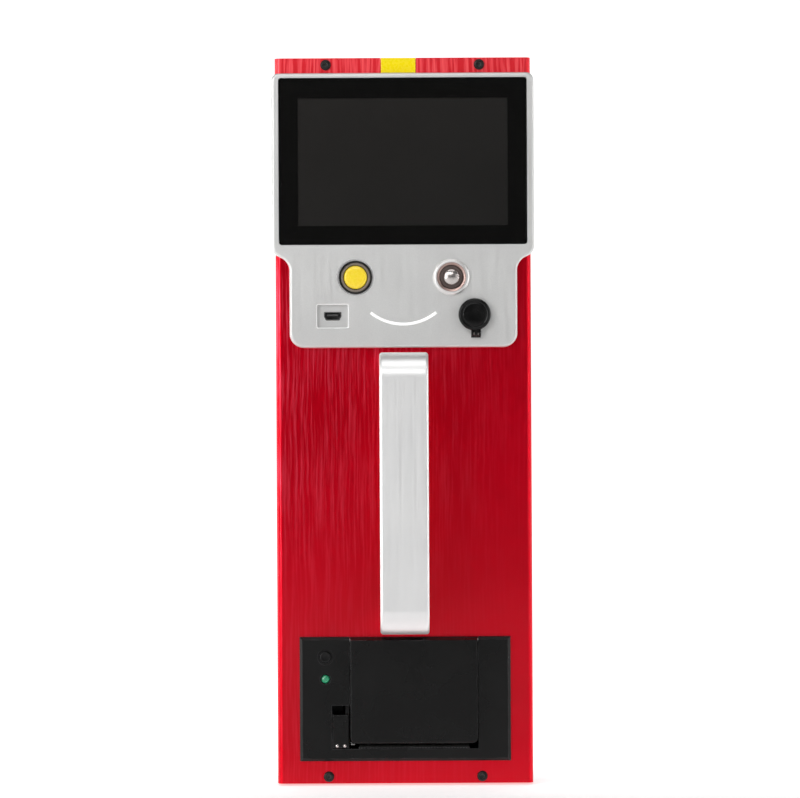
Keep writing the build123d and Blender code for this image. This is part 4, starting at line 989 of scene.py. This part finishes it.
# Parts inside that keep their own shape and get a finish
INSIDE = {
    "display_border": BORDER, "lcd_module": DISPLAY, "display_bracket": MILL, "board_spacers": BRASS,
    "main_board": BOARD, "panel_nuts": ZINC, "handle_screws": ZINC, "printer_hinge_pin": STEEL,
    "printer_motor": MOTOR, "printer_board": BLACK_BOARD, "print_head": MILL, "tear_bar": SLOT_SHADE_STEEL, "roll_hubs": NYLON,
    "platen_roller": RUBBER, "platen_shaft": STEEL, "idler_gear": NYLON, "motor_pinion": BRASS,
    "paper_roll": PAPER, "roll_core": CARD, "battery_pack": SLEEVE, "battery_bracket": ZINC, "power_supply": MILL,
}
for name, material in INSIDE.items():
    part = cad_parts[name]
    part.data.materials.clear()
    part.data.materials.append(material)


# ---- stage ----

def make_stage():
    """A pale floor that sweeps up behind the machine."""
    deselect()
    bpy.ops.mesh.primitive_plane_add(size=12, location=(0, -2.5, -0.0005))
    floor = settle("studio_sweep")
    edit(floor)
    choose("EDGE", lambda mid, way: mid.y > 3.0)
    bpy.ops.mesh.extrude_region_move(TRANSFORM_OT_translate={"value": (0, 0, 5)})
    round_edges(lambda mid, way: mid.y > 3.0 and mid.z < 0.1 and abs(way.x) > 0.9, 1500.0, 16)
    done()
    smooth(floor)
    material, tree, shader = new_material("Studio paper", 0.0, Emission_Strength=1.0)
    shader.inputs["Base Color"].default_value = (0.9, 0.9, 0.9, 1)
    axes = node(tree, "SeparateXYZ", {0: node(tree, "TexCoord").outputs["Object"]}).outputs
    glow = spread(tree, axes["Y"], -0.15, 0.10, 0.12, 0.80)
    tree.links.new(node(tree, "CombineColor", {0: glow, 1: glow, 2: glow}).outputs[0],
                   shader.inputs["Emission Color"])
    shader.inputs["Roughness"].default_value = 0.9
    floor.data.materials.append(material)


def add_light(name, place_at, target, size, power, colour=(1, 1, 1)):
    lamp = bpy.data.lights.new(name, "AREA")
    lamp.shape = "RECTANGLE"
    lamp.size, lamp.size_y = size
    lamp.energy = power
    lamp.color = colour
    holder = bpy.data.objects.new(name, lamp)
    bpy.context.scene.collection.objects.link(holder)
    holder.location = place_at
    holder.rotation_euler = (Vector(target) - Vector(place_at)).to_track_quat("-Z", "Y").to_euler()


def make_lights():
    middle_of = (0, 0, 0.2)
    add_light("key_softbox", (-1.5, -1.9, 0.75), middle_of, (1.1, 1.5), 13)
    add_light("fill_softbox", (1.6, -1.9, 0.5), middle_of, (1.1, 1.4), 3.2)
    add_light("top_softbox", (0, -0.7, 1.9), middle_of, (1.6, 1.0), 8)
    add_light("front_top_strip", (-0.3, -1.7, 1.15), (0, 0, 0.25), (1.2, 0.3), 5.5)
    add_light("left_strip", (-1.15, -1.25, 0.35), middle_of, (0.08, 1.8), 6)
    add_light("right_strip", (1.2, -0.6, 0.35), middle_of, (0.08, 1.8), 4)
    add_light("left_side_strip", (-1.3, 0.0, 0.3), middle_of, (0.3, 1.6), 7)
    add_light("right_side_strip", (1.3, 0.0, 0.3), middle_of, (0.3, 1.6), 3)
    world = bpy.data.worlds.new("Studio room")
    world.use_nodes = True
    world.node_tree.nodes["Background"].inputs["Color"].default_value = (1, 1, 1, 1)
    world.node_tree.nodes["Background"].inputs["Strength"].default_value = 0.08
    bpy.context.scene.world = world



def make_camera():
    camera = bpy.data.cameras.new("camera")
    camera.lens, camera.sensor_width = 173.0, 36.0
    holder = bpy.data.objects.new("camera", camera)
    bpy.context.scene.collection.objects.link(holder)
    holder.location = (-0.002, -2.0 + FRONT, 0.2005)
    holder.rotation_euler = (pi / 2, radians(0.28), 0)
    bpy.context.scene.camera = holder
    bpy.context.scene.view_settings.view_transform = "Standard"


make_stage()
make_lights()
make_camera()
